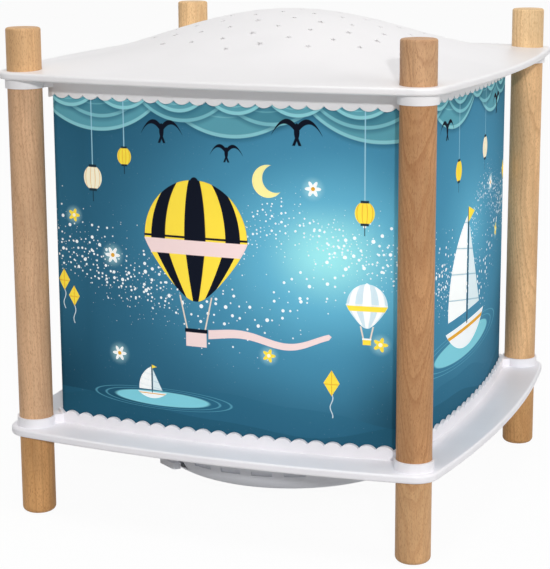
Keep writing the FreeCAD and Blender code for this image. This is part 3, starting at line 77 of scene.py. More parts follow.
class Value:
    """One number that changes over a surface; arithmetic on it adds Math nodes."""

    def __init__(self, bench, socket):
        self.bench, self.socket = bench, socket

    def math(self, operation, *others):
        return self.bench.node("Math", {"operation": operation}, dict(enumerate((self, *others))))

    __add__ = __radd__ = maths("ADD")
    __mul__ = __rmul__ = maths("MULTIPLY")
    __sub__ = maths("SUBTRACT")
    __truediv__ = maths("DIVIDE")
    __pow__ = maths("POWER")
    __gt__ = maths("GREATER_THAN")
    __lt__ = maths("LESS_THAN")
    __abs__ = maths("ABSOLUTE")
    low, high = maths("MINIMUM"), maths("MAXIMUM")
    sine, root, fraction = maths("SINE"), maths("SQRT"), maths("FRACT")

    def __neg__(self):
        return self * -1.0

    def __rsub__(self, other):
        return -self + other

    def wrap(self, half):
        """The value brought into -half..half by whole turns."""
        return self.math("WRAP", half, -half)

    def ramp(self, start, end, low=0.0, high=1.0):
        """Goes smoothly from low to high as the value goes from start to end."""
        return self.bench.node("MapRange", {"interpolation_type": "SMOOTHSTEP"},
                               {"Value": self, "From Min": start, "From Max": end,
                                "To Min": low, "To Max": high})


def length(x, y):
    return (x * x + y * y).root()


# %% [markdown]
# A `Bench` is a node tree in the making. Its method `node` adds a node of any type, changes its
# settings first and then fills its sockets with numbers, colours or values. The sky uses it as it
# is, and every material is a `Finish`, which is a bench with a Principled shader on it.

# %% The bench and the finish
MILLIMETRES = 1000.0
SHIFT_LEANING = (1.0, 0.7, 1.3)


class Bench:
    """A node tree and the method that adds to it."""

    def __init__(self, tree):
        self.tree = tree

    def node(self, kind, settings=None, inputs=None, output=0):
        """Make a node, change its settings, fill its sockets and return one of its outputs."""
        made = self.tree.nodes.new("ShaderNode" + kind)
        for name, value in (settings or {}).items():
            setattr(made, name, value)
        for slot, value in (inputs or {}).items():
            self.plug(value, made.inputs[slot])
        return Value(self, made.outputs[output])

    def plug(self, value, socket):
        if isinstance(value, Value):
            self.tree.links.new(value.socket, socket)
        else:
            socket.default_value = value

    def finish_with(self, shader, output_name):
        """Send a shader to the surface of the tree's own output node."""
        self.plug(shader, self.tree.nodes[output_name].inputs["Surface"])


class Finish(Bench):
    """One material with a Principled shader and the nodes of its pattern."""

    def __init__(self, name, **constants):
        self.material = bpy.data.materials.new(name)
        self.material.use_nodes = True
        super().__init__(self.material.node_tree)
        self.shader = self.tree.nodes["Principled BSDF"]
        self.paint(**constants)
        self.point = self.node("TexCoord", output="Object")
        self.x, self.y, self.z = (
            self.node("SeparateXYZ", {}, {0: self.point}, output=axis) * MILLIMETRES for axis in "XYZ")

    def stretched(self, level, upright, shift=0.0):
        """The point in millimetres, scaled by one factor level and another upright, and shifted."""
        scales = (level * MILLIMETRES, level * MILLIMETRES, upright * MILLIMETRES)
        scaled = self.node("VectorMath", {"operation": "MULTIPLY"}, {0: self.point, 1: scales})
        shifts = tuple(shift * share for share in SHIFT_LEANING)
        return self.node("VectorMath", {"operation": "ADD"}, {0: scaled, 1: shifts})

    def noise(self, where, detail=2.0, roughness=0.5):
        return self.node("TexNoise", {},
                         {"Vector": where, "Scale": 1.0, "Detail": detail, "Roughness": roughness})

    def mix(self, factor, first, second, blend="MIX"):
        """Blend two colours by a factor."""
        return self.node("Mix", {"data_type": "RGBA", "blend_type": blend, "clamp_factor": True},
                         {0: factor, 6: opaque(first), 7: opaque(second)}, output=2)

    def paint(self, **sockets):
        """Send colours and values to the shader's sockets."""
        for name, value in sockets.items():
            self.plug(value, self.shader.inputs[name.replace("_", " ")])
        return self

    def bump(self, height, distance):
        """Tilt the surface by a height pattern whose full step is the distance in metres."""
        return self.paint(Normal=self.node("Bump", {}, {"Height": height, "Distance": distance}))


def opaque(colour):
    return colour if isinstance(colour, Value) else (*colour, 1.0)


# %% [markdown]
# ## Studio light
# The lamp stands on a pale table in a white room. The main light is small and stands a little right
# of and above the camera, so the top plate throws a short dark shadow on its own skirt while the
# posts hide theirs. A large light on the right fills that side, another overhead brings out the
# plates, and the sky does the rest. Rays that see the sky directly find it white, and rays that
# carry light find it dim, so the backdrop is pale without more light on the lamp.

# %% The sky
SKY_STRENGTH, BACKDROP_STRENGTH = 0.29, 1.0
PLAIN_WHITE = (1.0, 1.0, 1.0, 1.0)
SEEING_RAYS = ("Is Camera Ray", "Is Glossy Ray", "Is Transmission Ray")


def seen_directly(bench):
    """1 for camera, glossy and transmission rays, and 0 for the rays that carry light."""
    straight, mirrored, passed = (bench.node("LightPath", output=name) for name in SEEING_RAYS)
    return straight.high(mirrored).high(passed)


scene.view_settings.view_transform = "Standard"
scene.world = bpy.data.worlds.new("studio")
scene.world.use_nodes = True
sky = Bench(scene.world.node_tree)
sky.tree.nodes.remove(sky.tree.nodes["Background"])
dim, white = (sky.node("Background", {}, {"Color": PLAIN_WHITE, "Strength": strength})
              for strength in (SKY_STRENGTH, BACKDROP_STRENGTH))
sky.finish_with(sky.node("MixShader", {}, {0: seen_directly(sky), 1: dim, 2: white}), "World Output")
print("sky nodes:", len(sky.tree.nodes))

# %% [markdown]
# Each lamp is a square panel that faces the lantern. It is given as a compass bearing and a height
# in degrees, its distance and width in metres, and its power in watts. A wide panel close by makes
# soft shadows, a narrow one makes crisp ones.

# %% The lamps
LAMPS = {"key_lamp": (27.0, 19.0, 1.6, 0.06, 8.8),
         "side_lamp": (84.0, 22.0, 1.6, 0.8, 5.6),
         "top_lamp": (20.0, 76.0, 1.5, 0.7, 8.2)}


def area_lamp(name, azimuth, elevation, distance, width, power):
    """Square lamp on a sphere about the object, turned towards it."""
    light = bpy.data.lights.new(name, "AREA")
    light.size = width
    light.energy = power
    lamp = bpy.data.objects.new(name, light)
    scene.collection.objects.link(lamp)
    direction = camera_axes(math.radians(azimuth), math.radians(elevation), 0.0)[2]
    lamp.location = TARGET + direction * distance
    lamp.rotation_euler = direction.to_track_quat("Z", "Y").to_euler()


for name, setting in LAMPS.items():
    area_lamp(name, *setting)

# %% [markdown]
# ## The table
# A pale table, nearly white to the camera: most of what is seen is its own even white, and the small
# part that is lit keeps a soft shadow. It throws back less light than it shows, so that the shade
# under the top plate stays dark.

# %% Table
TABLE_HALF, TABLE_DROP = 3.0, 0.0001
TABLE_CORNERS = ((-1, -1), (1, -1), (1, 1), (-1, 1))
EVEN_SHARE = 0.95
LIGHTING_GREY, SEEN_GREY = (0.55, 0.55, 0.55), (0.95, 0.95, 0.95)

table_mesh = bpy.data.meshes.new("table")
table_mesh.from_pydata([(x * TABLE_HALF, y * TABLE_HALF, -TABLE_DROP) for x, y in TABLE_CORNERS],
                       [], [(0, 1, 2, 3)])
table = bpy.data.objects.new("table", table_mesh)
scene.collection.objects.link(table)
table_top = Finish("pale_table", Roughness=0.9, Specular_IOR_Level=0.0)
seen = seen_directly(table_top)
table_top.paint(Base_Color=table_top.mix(seen, LIGHTING_GREY, SEEN_GREY))
lit = Value(table_top, table_top.shader.outputs[0])
even_white = table_top.node("Emission", {}, {"Strength": BACKDROP_STRENGTH})
table_top.finish_with(table_top.node("MixShader", {}, {0: seen * EVEN_SHARE, 1: lit, 2: even_white}),
                      "Material Output")
table_mesh.materials.append(table_top.material)
print("table:", 2 * TABLE_HALF, "m wide")

# %% [markdown]
# ## Beech
# The posts are turned from beech. Its growth rings are almost flat sheets this far from the tree's
# heart, so the ring pattern is a slowly bent stack of planes: a cylinder cut out of it shows long
# straight lines at its sides and pointed arches where the planes graze it. Beech is known by its
# rays, short darker dashes along the grain.
#
# Wood, plastic and inks are written as screen colours, and `tint` turns them into the linear light
# that a shader needs. A darker or warmer shade of a colour is that colour times one factor or three.

# %% Colours, and dressing a piece
def tint(code):
    """Linear colour of a hexadecimal screen colour."""
    channels = (int(code[start:start + 2], 16) / 255 for start in (0, 2, 4))
    return tuple(channel / 12.92 if channel <= 0.04045 else ((channel + 0.055) / 1.055) ** 2.4
                 for channel in channels)


def shaded(colour, factors):
    """A colour times one factor, or times a factor for each channel."""
    return tuple(float(channel) for channel in np.multiply(colour, factors))


def wear(finish, *names):
    """Give CAD nodes a finish in place of their plain one."""
    for name in names:
        nodes[name].data.materials.clear()
        nodes[name].data.materials.append(finish.material)
    print(finish.material.name, "on", ", ".join(names))


# %% [markdown]
# Five patterns make up the wood, laid one over another: slow clouds of colour, long streaks,
# fibres, the dark late wood of each year, and the rays. The late wood follows the bent planes, and
# the others are noise stretched along the post, each by its own amount. Years differ in strength,
# because noise on the depth fades some of them out.

# %% Beech
RING_STEP, RING_BEND, RING_RIPPLE = 1.7, 12.0, 2.6
LATE_SHADE, RAY_SHADE = (0.75, 0.66, 0.6), (0.6, 0.48, 0.4)
BODY_SHADES, STREAK_SHADE, FIBRE_SHADE = (0.82, 1.14), 0.8, 1.2
GRAIN_RELIEF = 0.00004


def beech(name, body, facing, lean, seed):
    """Beech of one piece: its body colour, the angle from which the rings come, and their lean.
    A more slanting cut shows its late wood more strongly."""
    wood = Finish(name, Specular_IOR_Level=0.3)
    bend = wood.noise(wood.stretched(0.05, 0.016, seed * 7.3), detail=1.0)
    ripple = wood.noise(wood.stretched(0.2, 0.06, seed * 2.3))
    depth = (wood.x * math.cos(facing) + wood.y * math.sin(facing) + wood.z * lean
             + bend * RING_BEND + ripple * RING_RIPPLE + seed * 3.7)
    year = wood.noise(wood.node("CombineXYZ", {}, {0: depth * 0.45, 1: seed, 2: 0.0}), detail=1.0)
    ring = (depth / RING_STEP).fraction()
    late = ring.ramp(0.25, 0.9) * ring.ramp(1.0, 0.9) * year.ramp(0.34, 0.62)
    broad = wood.noise(wood.stretched(0.1, 0.022, seed * 5.7))
    streak = wood.noise(wood.stretched(0.55, 0.012, seed * 4.3))
    fibre = wood.noise(wood.stretched(1.8, 0.05, seed * 3.1), detail=4.0, roughness=0.65)
    rays = wood.noise(wood.stretched(4.0, 0.8, seed * 11.0), detail=1.5).ramp(0.53, 0.65)
    pale_and_deep = (shaded(body, factor) for factor in BODY_SHADES)
    base = wood.mix(broad.ramp(0.32, 0.68), *pale_and_deep)
    for share, factors in ((streak.ramp(0.52, 0.72) * 0.45, STREAK_SHADE),
                           (fibre.ramp(0.3, 0.7) * 0.35, FIBRE_SHADE),
                           (late * (0.4 + lean * 2.4), LATE_SHADE),
                           (rays * 0.5, RAY_SHADE)):
        base = wood.mix(share, base, shaded(body, factors))
    wood.paint(Base_Color=base, Roughness=0.46 + fibre * 0.14 + rays * 0.06)
    return wood.bump(fibre * 0.5 - rays * 0.6 - late * 0.3, GRAIN_RELIEF)


# %% [markdown]
# Every piece of a post is cut from another place in the plank, so each has its own colour and its
# own shift, and the rings of one post come from about the same side.

# %% Dress the posts
POST_PIECES = ("foot", "column", "knob")
PLANKS = {"front_left": (0.9, 0.05, ("d4a068", "d5ac86", "d7ac7c")),
          "front_right": (-1.35, 0.19, ("daac7c", "c19063", "c99e76")),
          "rear_right": (-0.7, 0.08, ("d4a169", "e7bb89", "efcb9a")),
          "rear_left": (2.2, 0.05, ("d4a26c", "daaf7e", "edc592"))}
TURN_BETWEEN_PIECES = 0.25

seed = 1.0
for corner, (ring_side, lean, colours) in PLANKS.items():
    for rank, (piece, colour) in enumerate(zip(POST_PIECES, colours)):
        side = ring_side + rank * TURN_BETWEEN_PIECES
        wear(beech(f"beech_{piece}_{corner}", tint(colour), side, lean, seed), f"{piece}_{corner}")
        seed += 1.0

# %% [markdown]
# ## Moulded plastic
# The two plates are injection-moulded in white. Such a surface is smooth but not flat: a slight
# waviness breaks its reflections, and a very fine grain keeps them soft. The inner mouldings differ
# only in colour, roughness and grain, so they are rows of one table.

# %% White plates and the other mouldings
FINE_GRAIN, HOUSING_GRAIN, FROSTED_GRAIN = 0.00001, 0.00003, 0.00004
CLOUD_SHADE = 0.965
MOULDINGS = {
    "top_plate_white": ("f4f2f3", 0.36, FINE_GRAIN, ("top_plate",)),
    # The base plate is the same white plastic as the top plate; its paler, bluer colour is painted light,
    # standing in for the bluish light that falls on it.
    "base_plate_white_with_painted_light": ("f7f5f9", 0.36, FINE_GRAIN, ("base_plate",)),
    "housing_plastic": ("f1f3f9", 0.55, HOUSING_GRAIN, ("drive_housing", "switch_lever")),
    "drum_plastic": ("eceae6", 0.5, FINE_GRAIN,
                     ("turntable", "drum_hoop", "light_column", "lamp_carrier")),
    "gear_plastic": ("efeadb", 0.32, FINE_GRAIN, ("drum_gear", "motor_pinion", "thrust_washer")),
    "dark_plastic": ("26272b", 0.45, FINE_GRAIN,
                     ("gearbox_case", "cell_holder", "switch_case", "board_components")),
    "cell_sleeve": ("2f5f9e", 0.3, FINE_GRAIN, ("battery_cell",)),
    "wire_insulation": ("a3272b", 0.45, FINE_GRAIN,
                        ("lamp_leads", "motor_leads", "cell_leads", "switch_leads")),
}


def moulding(name, colour, roughness, grain):
    """Moulded plastic: an even colour with a faint cloudiness, and a fine grain."""
    plastic = Finish(name)
    cloud = plastic.noise(plastic.stretched(0.03, 0.03))
    fine = plastic.noise(plastic.stretched(2.2, 2.2))
    plastic.paint(Base_Color=plastic.mix(cloud.ramp(0.35, 0.65), shaded(colour, CLOUD_SHADE), colour),
                  Roughness=roughness + (fine - 0.5) * 0.12 + (cloud - 0.5) * 0.08)
    return plastic.bump(fine + cloud * 4.0, grain)


for name, (colour, roughness, grain, pieces) in MOULDINGS.items():
    wear(moulding(name, tint(colour), roughness, grain), *pieces)

# %% [markdown]
# ## Metal
# Turned and plated parts keep fine tool marks. The marks are rings of slightly different roughness
# along the part, made from noise that is stretched flat.

# %% Steel, brass and plating
TOOL_MARKS, DULL_SHADE = 0.000008, 0.86
METALS = {
    "steel": ((0.60, 0.61, 0.63), 0.32, ("motor_can", "motor_shaft")),
    "zinc_plating": ((0.70, 0.71, 0.73), 0.28,
                     ("lower_studs", "upper_studs", "housing_screws", "column_screws", "motor_screws",
                      "board_screws", "holder_screws")),
    "bush_brass": ((0.80, 0.62, 0.30), 0.3, ("hub_bush",)),
    "nickel": ((0.74, 0.73, 0.70), 0.22, ("charging_socket", "cell_clips")),
}


def metal(name, colour, roughness):
    """Machined metal with fine marks across its axis."""
    part = Finish(name, Metallic=1.0)
    marks = part.noise(part.stretched(0.15, 5.0), detail=3.0)
    blush = part.noise(part.stretched(0.2, 0.2), detail=1.0)
    part.paint(Base_Color=part.mix(blush, shaded(colour, DULL_SHADE), colour),
               Roughness=roughness + (marks - 0.5) * 0.2)
    return part.bump(marks, TOOL_MARKS)


for name, (colour, roughness, pieces) in METALS.items():
    wear(metal(name, colour, roughness), *pieces)

# %% [markdown]
# ## Circuit board, lamp board and diffuser
# A board is lacquer over copper tracks. The tracks are a brick pattern with wide gaps, seen as a
# slightly different and higher shade of the lacquer. The lamp board is white so that it wastes no
# light.

# %% Boards
TRACK_RELIEF = 0.00003


def board(name, lacquer, track):
    """Lacquered board with the faint relief of its tracks."""
    lacquered = Finish(name)
    tracks = lacquered.node("TexBrick", {"offset": 0.35}, {
        "Vector": lacquered.stretched(1.0, 1.0), "Scale": 0.2, "Mortar Size": 0.12,
        "Color1": (0, 0, 0, 1), "Color2": (0.25, 0.25, 0.25, 1), "Mortar": (1, 1, 1, 1)})
    level = lacquered.node("SeparateColor", {}, {0: tracks})
    lacquered.paint(Base_Color=lacquered.mix(level, lacquer, track), Roughness=0.42 - level * 0.1)
    return lacquered.bump(level, TRACK_RELIEF)


wear(board("board_lacquer", tint("135236"), tint("2b7a52")), "circuit_board")
wear(board("lamp_board_white", tint("f2f2ef"), tint("dcdcd6")), "lamp_board")

# %% [markdown]
# The LED chips and the diffuser over them glow because they are the lamp. They are mouldings like
# the others, with a warm light of their own on top.

# %% Lamp
WARM_LIGHT = tint("fff3d8")
GLOWING = {"phosphor": ("f2d35a", 0.4, FINE_GRAIN, 2.0, "led_chips"),
           "frosted_diffuser": ("f6f4ec", 0.6, FROSTED_GRAIN, 2.5, "light_diffuser")}

for name, (colour, roughness, grain, strength, piece) in GLOWING.items():
    glowing = moulding(name, tint(colour), roughness, grain)
    wear(glowing.paint(Emission_Color=opaque(WARM_LIGHT), Emission_Strength=strength), piece)

# %% [markdown]
# ## The printed picture
# The picture runs once round the lantern. Its pattern is drawn in two numbers for each point: how
# far round the lantern it lies, in millimetres from the middle of the front, and how high. A motif
# is a signed distance, positive inside, that a narrow ramp turns into a crisp mask; the sheet is
# then painted from the back of the picture to the front, one motif over another.

# %% Where a point lies in the picture
FACE = 138.6
ROUND = 4 * FACE
INK_EDGE = 0.16


class Print:
    """A picture on the sheet: where the point is, and the colour painted so far."""

    def __init__(self, finish):
        self.finish, self.colour = finish, None
        x, y = finish.x, finish.y
        on_side = abs(x) > abs(y)
        at_rear, at_left = y > 0, x < 0
        front_or_rear = x * (1 - at_rear * 2) + at_rear * (2 * FACE)
        side = y * (1 - at_left * 2) + FACE + at_left * (2 * FACE)
        self.round = front_or_rear + (side - front_or_rear) * on_side
        self.height = finish.z

    @property
    def turn(self):
        """Angle that goes once round with the picture."""
        return self.round * (2 * math.pi / ROUND)

    def at(self, place, height):
        """Offsets of the point from a place in the picture."""
        return (self.round - place).wrap(ROUND / 2), self.height - height

    def lay(self, inside, ink, strength=1.0, edge=INK_EDGE):
        """Paint an ink where the signed distance is positive."""
        self.colour = self.finish.mix(inside.ramp(-edge, edge, 0.0, strength), self.colour, tint(ink))


sheet = Finish("printed_sheet", Specular_IOR_Level=0.004)
picture = Print(sheet)
print("the picture runs", round(ROUND, 1), "mm round the lantern")

# %% [markdown]
# Blender takes longer over each new node the more there are in one tree, and a picture has
# thousands. So each motif is built in a small tree of its own, a node group that takes the point
# and the colour below it and gives the colour with the motif on top.

# %% A motif in a tree of its own
GROUP_INPUTS = (("Round", "Float"), ("Height", "Float"), ("Colour", "Color"))


def motif(lay):
    """Let a painting function build its nodes in a node group."""
    def lay_as_group(picture, *details):
        finish, outer_tree = picture.finish, picture.finish.tree
        group = bpy.data.node_groups.new(lay.__name__.removeprefix("lay_"), "ShaderNodeTree")
        for name, kind in GROUP_INPUTS:
            group.interface.new_socket(name, in_out="INPUT", socket_type="NodeSocket" + kind)
        group.interface.new_socket("Colour", in_out="OUTPUT", socket_type="NodeSocketColor")
        entry, way_out = (group.nodes.new("NodeGroup" + side) for side in ("Input", "Output"))
        finish.tree, inner = group, copy.copy(picture)
        inner.round, inner.height, inner.colour = (
            Value(finish, entry.outputs[number]) for number in range(len(GROUP_INPUTS)))
        lay(inner, *details)
        finish.plug(inner.colour, way_out.inputs[0])
        finish.tree = outer_tree
        picture.colour = finish.node("Group", {"node_tree": group},
                                     {0: picture.round, 1: picture.height, 2: picture.colour})
    return lay_as_group


# %% [markdown]
# The motifs are put together from a few plain shapes. Each gives about the distance to its own
# edge, in millimetres. The lower of two distances is where both shapes are, and the higher is where
# either is.

# %% Plain shapes and inks
YELLOW, CREAM, WHITE, SKIN, INK = "ffe14a", "fff6d8", "fbfefd", "f4dad8", "161a26"
AMBER, SLATE = "e0a63a", "22343f"


def disc(x, y, radius):
    return radius - length(x, y)


def ellipse(x, y, half_width, half_height):
    return (1 - length(x / half_width, y / half_height)) * half_height


def band(x, half_width):
    return half_width - abs(x)


def above(x, y, slope, offset):
    """Inside where y lies above a slanted line."""
    return (y - x * slope - offset) / math.hypot(1.0, slope)


# %% [markdown]
# ### The sky
# The sky is brightest where the lamp shines through it and darkens downwards and towards the corners. That
# glow is painted light, laid into the colour of the print. Each glow has a place, how much of its brightness
# is missing, and how wide it spreads. The reach of the nearest glow runs through a row of ever darker teals.

# %% Sky
GLOWS = ((43.0, 0.0, 1.0), (139.0, 0.33, 1.7), (262.0, 0.0, 1.0), (400.0, 0.0, 1.0))
GLOW_HEIGHT, GLOW_HALF_WIDTH, GLOW_HALF_HEIGHT, MOTTLE = 110.0, 84.0, 66.0, 0.1
BRIGHTEST, DUSK = "98e0e4", "1a3f52"
TEALS = ((0.02, 0.34, "62aeca"), (0.26, 0.62, "488cab"), (0.55, 1.1, "316782"), (1.0, 1.5, "25546c"))


def lay_sky(picture):
    """Paint the sky; returns how far out of the glow each point is, 0 at its middle and 1 where its
    light is nearly spent."""
    finish, glow = picture.finish, None
    # Each glow is painted light, where the lamp inside shines through the sheet.
    for place, dimness, spread in GLOWS:
        x, y = picture.at(place, GLOW_HEIGHT)
        reach = length(x / (GLOW_HALF_WIDTH * spread), y / (GLOW_HALF_HEIGHT * spread)) + dimness
        glow = reach if glow is None else glow.low(reach)
    glow = glow + finish.noise(finish.stretched(0.02, 0.03)) * MOTTLE - MOTTLE / 2
    colour = tint(BRIGHTEST)
    for start, end, teal in TEALS:
        colour = finish.mix(glow.ramp(start, end), colour, tint(teal))
    colour = finish.mix(picture.height.ramp(70.0, 38.0, 0.0, 0.2), colour, tint(DUSK))
    corner = abs(picture.round.wrap(FACE / 2)).ramp(44.0, 72.0) * picture.height.ramp(92.0, 46.0)
    picture.colour = finish.mix(corner * 0.75, colour, tint(DUSK))
    return glow


glow = lay_sky(picture)
print("glows in the sky:", len(GLOWS))

# %% [markdown]
# ### Hills and pools
# Two rows of dark hills close the picture below. Their ridges are sums of sine waves that fit a
# whole number of times round the lantern, so no seam shows. Still pools lie in front of them.

# %% Hills and pools
HILLS = ((((5, 1.0, 3.4), (11, 2.0, 1.2)), 51.0, "2b6580", 0.4),
         (((4, 3.6, 3.6), (9, 0.5, 1.2)), 45.0, "1f4c60", 0.38))
POOLS = ((-24.0, 50.0, 20.0), (134.0, 64.0, 36.0), (296.0, 52.0, 22.0), (392.0, 55.0, 26.0))
POOL_FLATNESS, RIPPLES = 0.14, (1.22, 1.45)


@motif
def lay_hills(picture):
    """Rows of hills: each wave has how often it goes round, its phase and its height."""
    for waves, level, ink, strength in HILLS:
        ridge = sum((picture.turn * count + phase).sine() * rise for count, phase, rise in waves)
        picture.lay(ridge + level - picture.height, ink, strength)


@motif
def lay_pool(picture, place, height, width):
    """Still water: a pale ellipse with two ripples round it."""
    x, y = picture.at(place, height)
    picture.lay(ellipse(x, y, width, width * POOL_FLATNESS), "80cbd9")
    size = length(x / width, y / (width * POOL_FLATNESS))
    for ripple in RIPPLES:
        picture.lay((0.018 - abs(size - ripple)) * width * 0.3, "62a9bf", 0.75)


lay_hills(picture)
for pool in POOLS:
    lay_pool(picture, *pool)
print("rows of hills:", len(HILLS), "pools:", len(POOLS))

# %% [markdown]
# ### Sparks
# Fine bright dots drift across the sky in a stream. A Voronoi pattern puts one dot in each cell,
# and its random colour decides how large that dot is: towards the stream's edge fewer dots are
# large enough to be seen.

# %% Sparks
SPARK_FIELDS = ((0.0, 1.8, 0.52, 106.0, 18.0), (4.7, 3.3, 0.85, 98.0, 28.0))


@motif
def lay_sparks(picture, seed, step, radius, centre, half_width):
    """Fine dots in the cells of a Voronoi pattern, thickest along a wavy stream."""
    finish = picture.finish
    cell = {0: picture.round / step, 1: picture.height / step + seed, 2: 0.0}
    where = finish.node("CombineXYZ", {}, cell)
    distance, colour = (
        finish.node("TexVoronoi", {"voronoi_dimensions": "2D"}, {"Vector": where, "Scale": 1.0}, output=name)
        for name in ("Distance", "Color"))
    chance = finish.node("SeparateColor", {}, {0: colour})
    stream = picture.height - centre - (picture.turn * 4 + seed).sine() * 13.0
    off_stream = abs(stream - (picture.turn * 8 + seed * 2).sine() * 4.0) / half_width
    near = off_stream.ramp(0.0, 1.0, 1.0, 0.0)
    picture.lay((chance - 1.02 + near * 0.95) * radius - distance * step, "fafeff")


for field in SPARK_FIELDS:
    lay_sparks(picture, *field)
print("fields of sparks:", len(SPARK_FIELDS))

# %% [markdown]
# ### Clouds
# A bank of clouds hangs along the top. It is three rows of discs, smaller towards the front, that
# repeat round the lantern: wrapping the place into one repeat draws them all at once.

# %% Clouds
CLOUD_ROWS = ((10, 36.0, 187.0, 6.0, "5b9cab", "86c4cc"),
              (16, 24.0, 180.0, 21.0, "4a8798", "78b7c1"),
              (24, 14.0, 173.5, 8.0, "5fa0ae", "8ccbd2"))
CURLS = (0.16, 0.34)


@motif
def lay_clouds(picture):
    """Each disc has a soft shadow under it, a pale lower rim and thin curls inside it."""
    for count, radius, rise, shift, body, rim in CLOUD_ROWS:
        x = (picture.round - shift).wrap(ROUND / count / 2)
        y = picture.height - rise
        picture.lay(disc(x, y + 1.2, radius), "2a5c72", 0.55, 1.2)
        picture.lay(disc(x, y, radius), rim)
        picture.lay(disc(x, y - 0.9, radius - 0.4), body)
        for inset in CURLS:
            centre_distance = length(x + radius * inset * 0.5, y - radius * inset * 0.3)
            curl = band(centre_distance - radius * (1 - inset), 0.22)
            picture.lay(curl.low(x + radius * 0.34), rim, 0.55)


lay_clouds(picture)
print("clouds:", sum(row[0] for row in CLOUD_ROWS))

# %% [markdown]
# ### Birds
# Dark gliding birds cross below the clouds. A wing is a band about a curve that rises and then
# drops towards the tip, and taking the distance from the middle without its sign gives both wings.

# %% Birds
BIRDS = ((-22.0, 153.0, 17.0), (4.0, 146.0, 13.0), (31.0, 155.0, 19.0), (108.0, 152.0, 15.0),
         (182.0, 154.0, 17.0), (250.0, 152.0, 17.0), (380.0, 152.0, 18.0), (440.0, 154.0, 15.0))


@motif
def lay_bird(picture, place, height, span):
    """Two arched wings that thin out to their tips, a slim body and a forked tail."""
    x, y = picture.at(place, height)
    reach = abs(x) / (span * 0.5)
    wing_line = (reach - reach * reach) * (span * 0.72) - reach * reach * (span * 0.1)
    to_tip = 1.0 - reach
    wing = band(y - wing_line, to_tip * (span * 0.075) + span * 0.006).low(to_tip * span)
    body = ellipse(x, y + span * 0.03, span * 0.055, span * 0.16)
    fork = band(abs(x) + (y + span * 0.14) * 0.4, span * 0.03).low(-(y + span * 0.1)).low(y + span * 0.3)
    picture.lay(wing.high(body).high(fork), "141824")


for bird in BIRDS:
    lay_bird(picture, *bird)
print("birds:", len(BIRDS))

# %% [markdown]
# ### Lanterns
# Paper lanterns hang from the clouds on strings. Their ribs bend like meridians on a globe, because
# the offset across is divided by the globe's width at each height before it is cut into steps.

# %% Lanterns
LANTERNS = ((-52.0, 133.0, 4.6, CREAM), (-38.0, 142.0, 3.4, YELLOW), (56.0, 126.0, 4.2, YELLOW),
            (122.0, 134.0, 4.2, YELLOW), (160.0, 138.0, 4.6, CREAM), (231.0, 132.0, 4.6, YELLOW),
            (318.0, 136.0, 4.2, CREAM), (372.0, 130.0, 4.4, YELLOW), (458.0, 136.0, 4.8, CREAM))


@motif
def lay_lantern(picture, place, height, size, ink):
    """A string, an ellipse with ribs between two dark caps, and a tassel."""
    x, y = picture.at(place, height)
    picture.lay(band(x, 0.2).low(y), "9ccbdb")
    body = ellipse(x, y, size * 0.86, size)
    picture.lay(body, ink)
    globe_width = (1.0 - (y / size * 0.85) ** 2.0).high(0.1).root()
    rib = (x / size * 2.2 / globe_width).fraction() - 0.5
    picture.lay(((0.09 - abs(rib)) * size).low(body), "c98f2e", 0.55)
    for end in (-1, 1):
        picture.lay(band(x, size * 0.36).low(band(y - size * 0.98 * end, size * 0.11)), SLATE)
    picture.lay(band(x, 0.16).low(band(y + size * 1.5, size * 0.45)), SLATE)


for lantern in LANTERNS:
    lay_lantern(picture, *lantern)
print("lanterns:", len(LANTERNS))

# %% [markdown]
# ### Blossoms
# A blossom is a circle whose radius swings with the angle, once for each petal. The soft halo
# behind it is a plain disc laid with a very wide edge.

# %% Blossoms
BLOSSOMS = ((-61.0, 118.0, 2.6, 5, YELLOW), (-44.0, 104.0, 3.2, 6, WHITE), (-42.0, 66.0, 3.0, 6, WHITE),
            (20.0, 71.0, 2.6, 5, YELLOW), (62.0, 78.0, 2.8, 5, YELLOW), (37.0, 134.0, 3.0, 6, WHITE),
            (172.0, 122.0, 3.0, 6, WHITE), (186.0, 100.0, 2.8, 5, YELLOW), (222.0, 104.0, 3.0, 5, YELLOW),
            (340.0, 96.0, 3.2, 6, WHITE), (470.0, 110.0, 2.8, 5, YELLOW), (396.0, 84.0, 3.0, 6, WHITE))


@motif
def lay_blossom(picture, place, height, size, petals, ink):
    """Halo, petals and a heart that stands out from them."""
    x, y = picture.at(place, height)
    picture.lay(disc(x, y, size * 1.1), "bfeef0", 0.35, size * 0.6)
    angle = y.math("ARCTAN2", x)
    picture.lay(((angle * petals).math("COSINE") * 0.26 + 0.74) * size - length(x, y), ink)
    picture.lay(disc(x, y, size * 0.26), "fffbe0" if ink == YELLOW else AMBER)


for blossom in BLOSSOMS:
    lay_blossom(picture, *blossom)
print("blossoms:", len(BLOSSOMS))

# %% [markdown]
# ### Kites and moons
# A kite is a lozenge, where the offsets across and up add to less than its size, on a tail that
# follows a sine wave. A crescent moon is a disc less a second disc beside it.

# %% Kites and moons
KITES = ((44.0, 62.0, 4.4), (-62.0, 86.0, 3.6), (204.0, 122.0, 4.0), (326.0, 74.0, 4.0),
         (488.0, 92.0, 3.8))
MOONS = ((20.0, 136.0, 6.0), (300.0, 128.0, 8.0))


@motif
def lay_kite(picture, place, height, size, ink):
    """A small kite: a lozenge with a thin cross, on a curved tail."""
    x, y = picture.at(place, height)
    picture.lay(band(x - (y * 0.9).sine() * 0.5, 0.16).low(band(y + size * 1.8, size * 1.1)), "dcebf0")
    sail = size - abs(x) * 1.45 - abs(y - size * 0.1) * 0.9
    picture.lay(sail, ink)
    picture.lay(band(x, 0.12).high(band(y, 0.12)).low(sail), "c9862c", 0.7)


@motif
def lay_moon(picture, place, height, radius):
    """A crescent: a disc less a second disc beside it."""
    x, y = picture.at(place, height)
    bite = disc(x - radius * 0.5, y - radius * 0.18, radius * 0.86)
    picture.lay(disc(x, y, radius).low(-bite), "fff2a0")


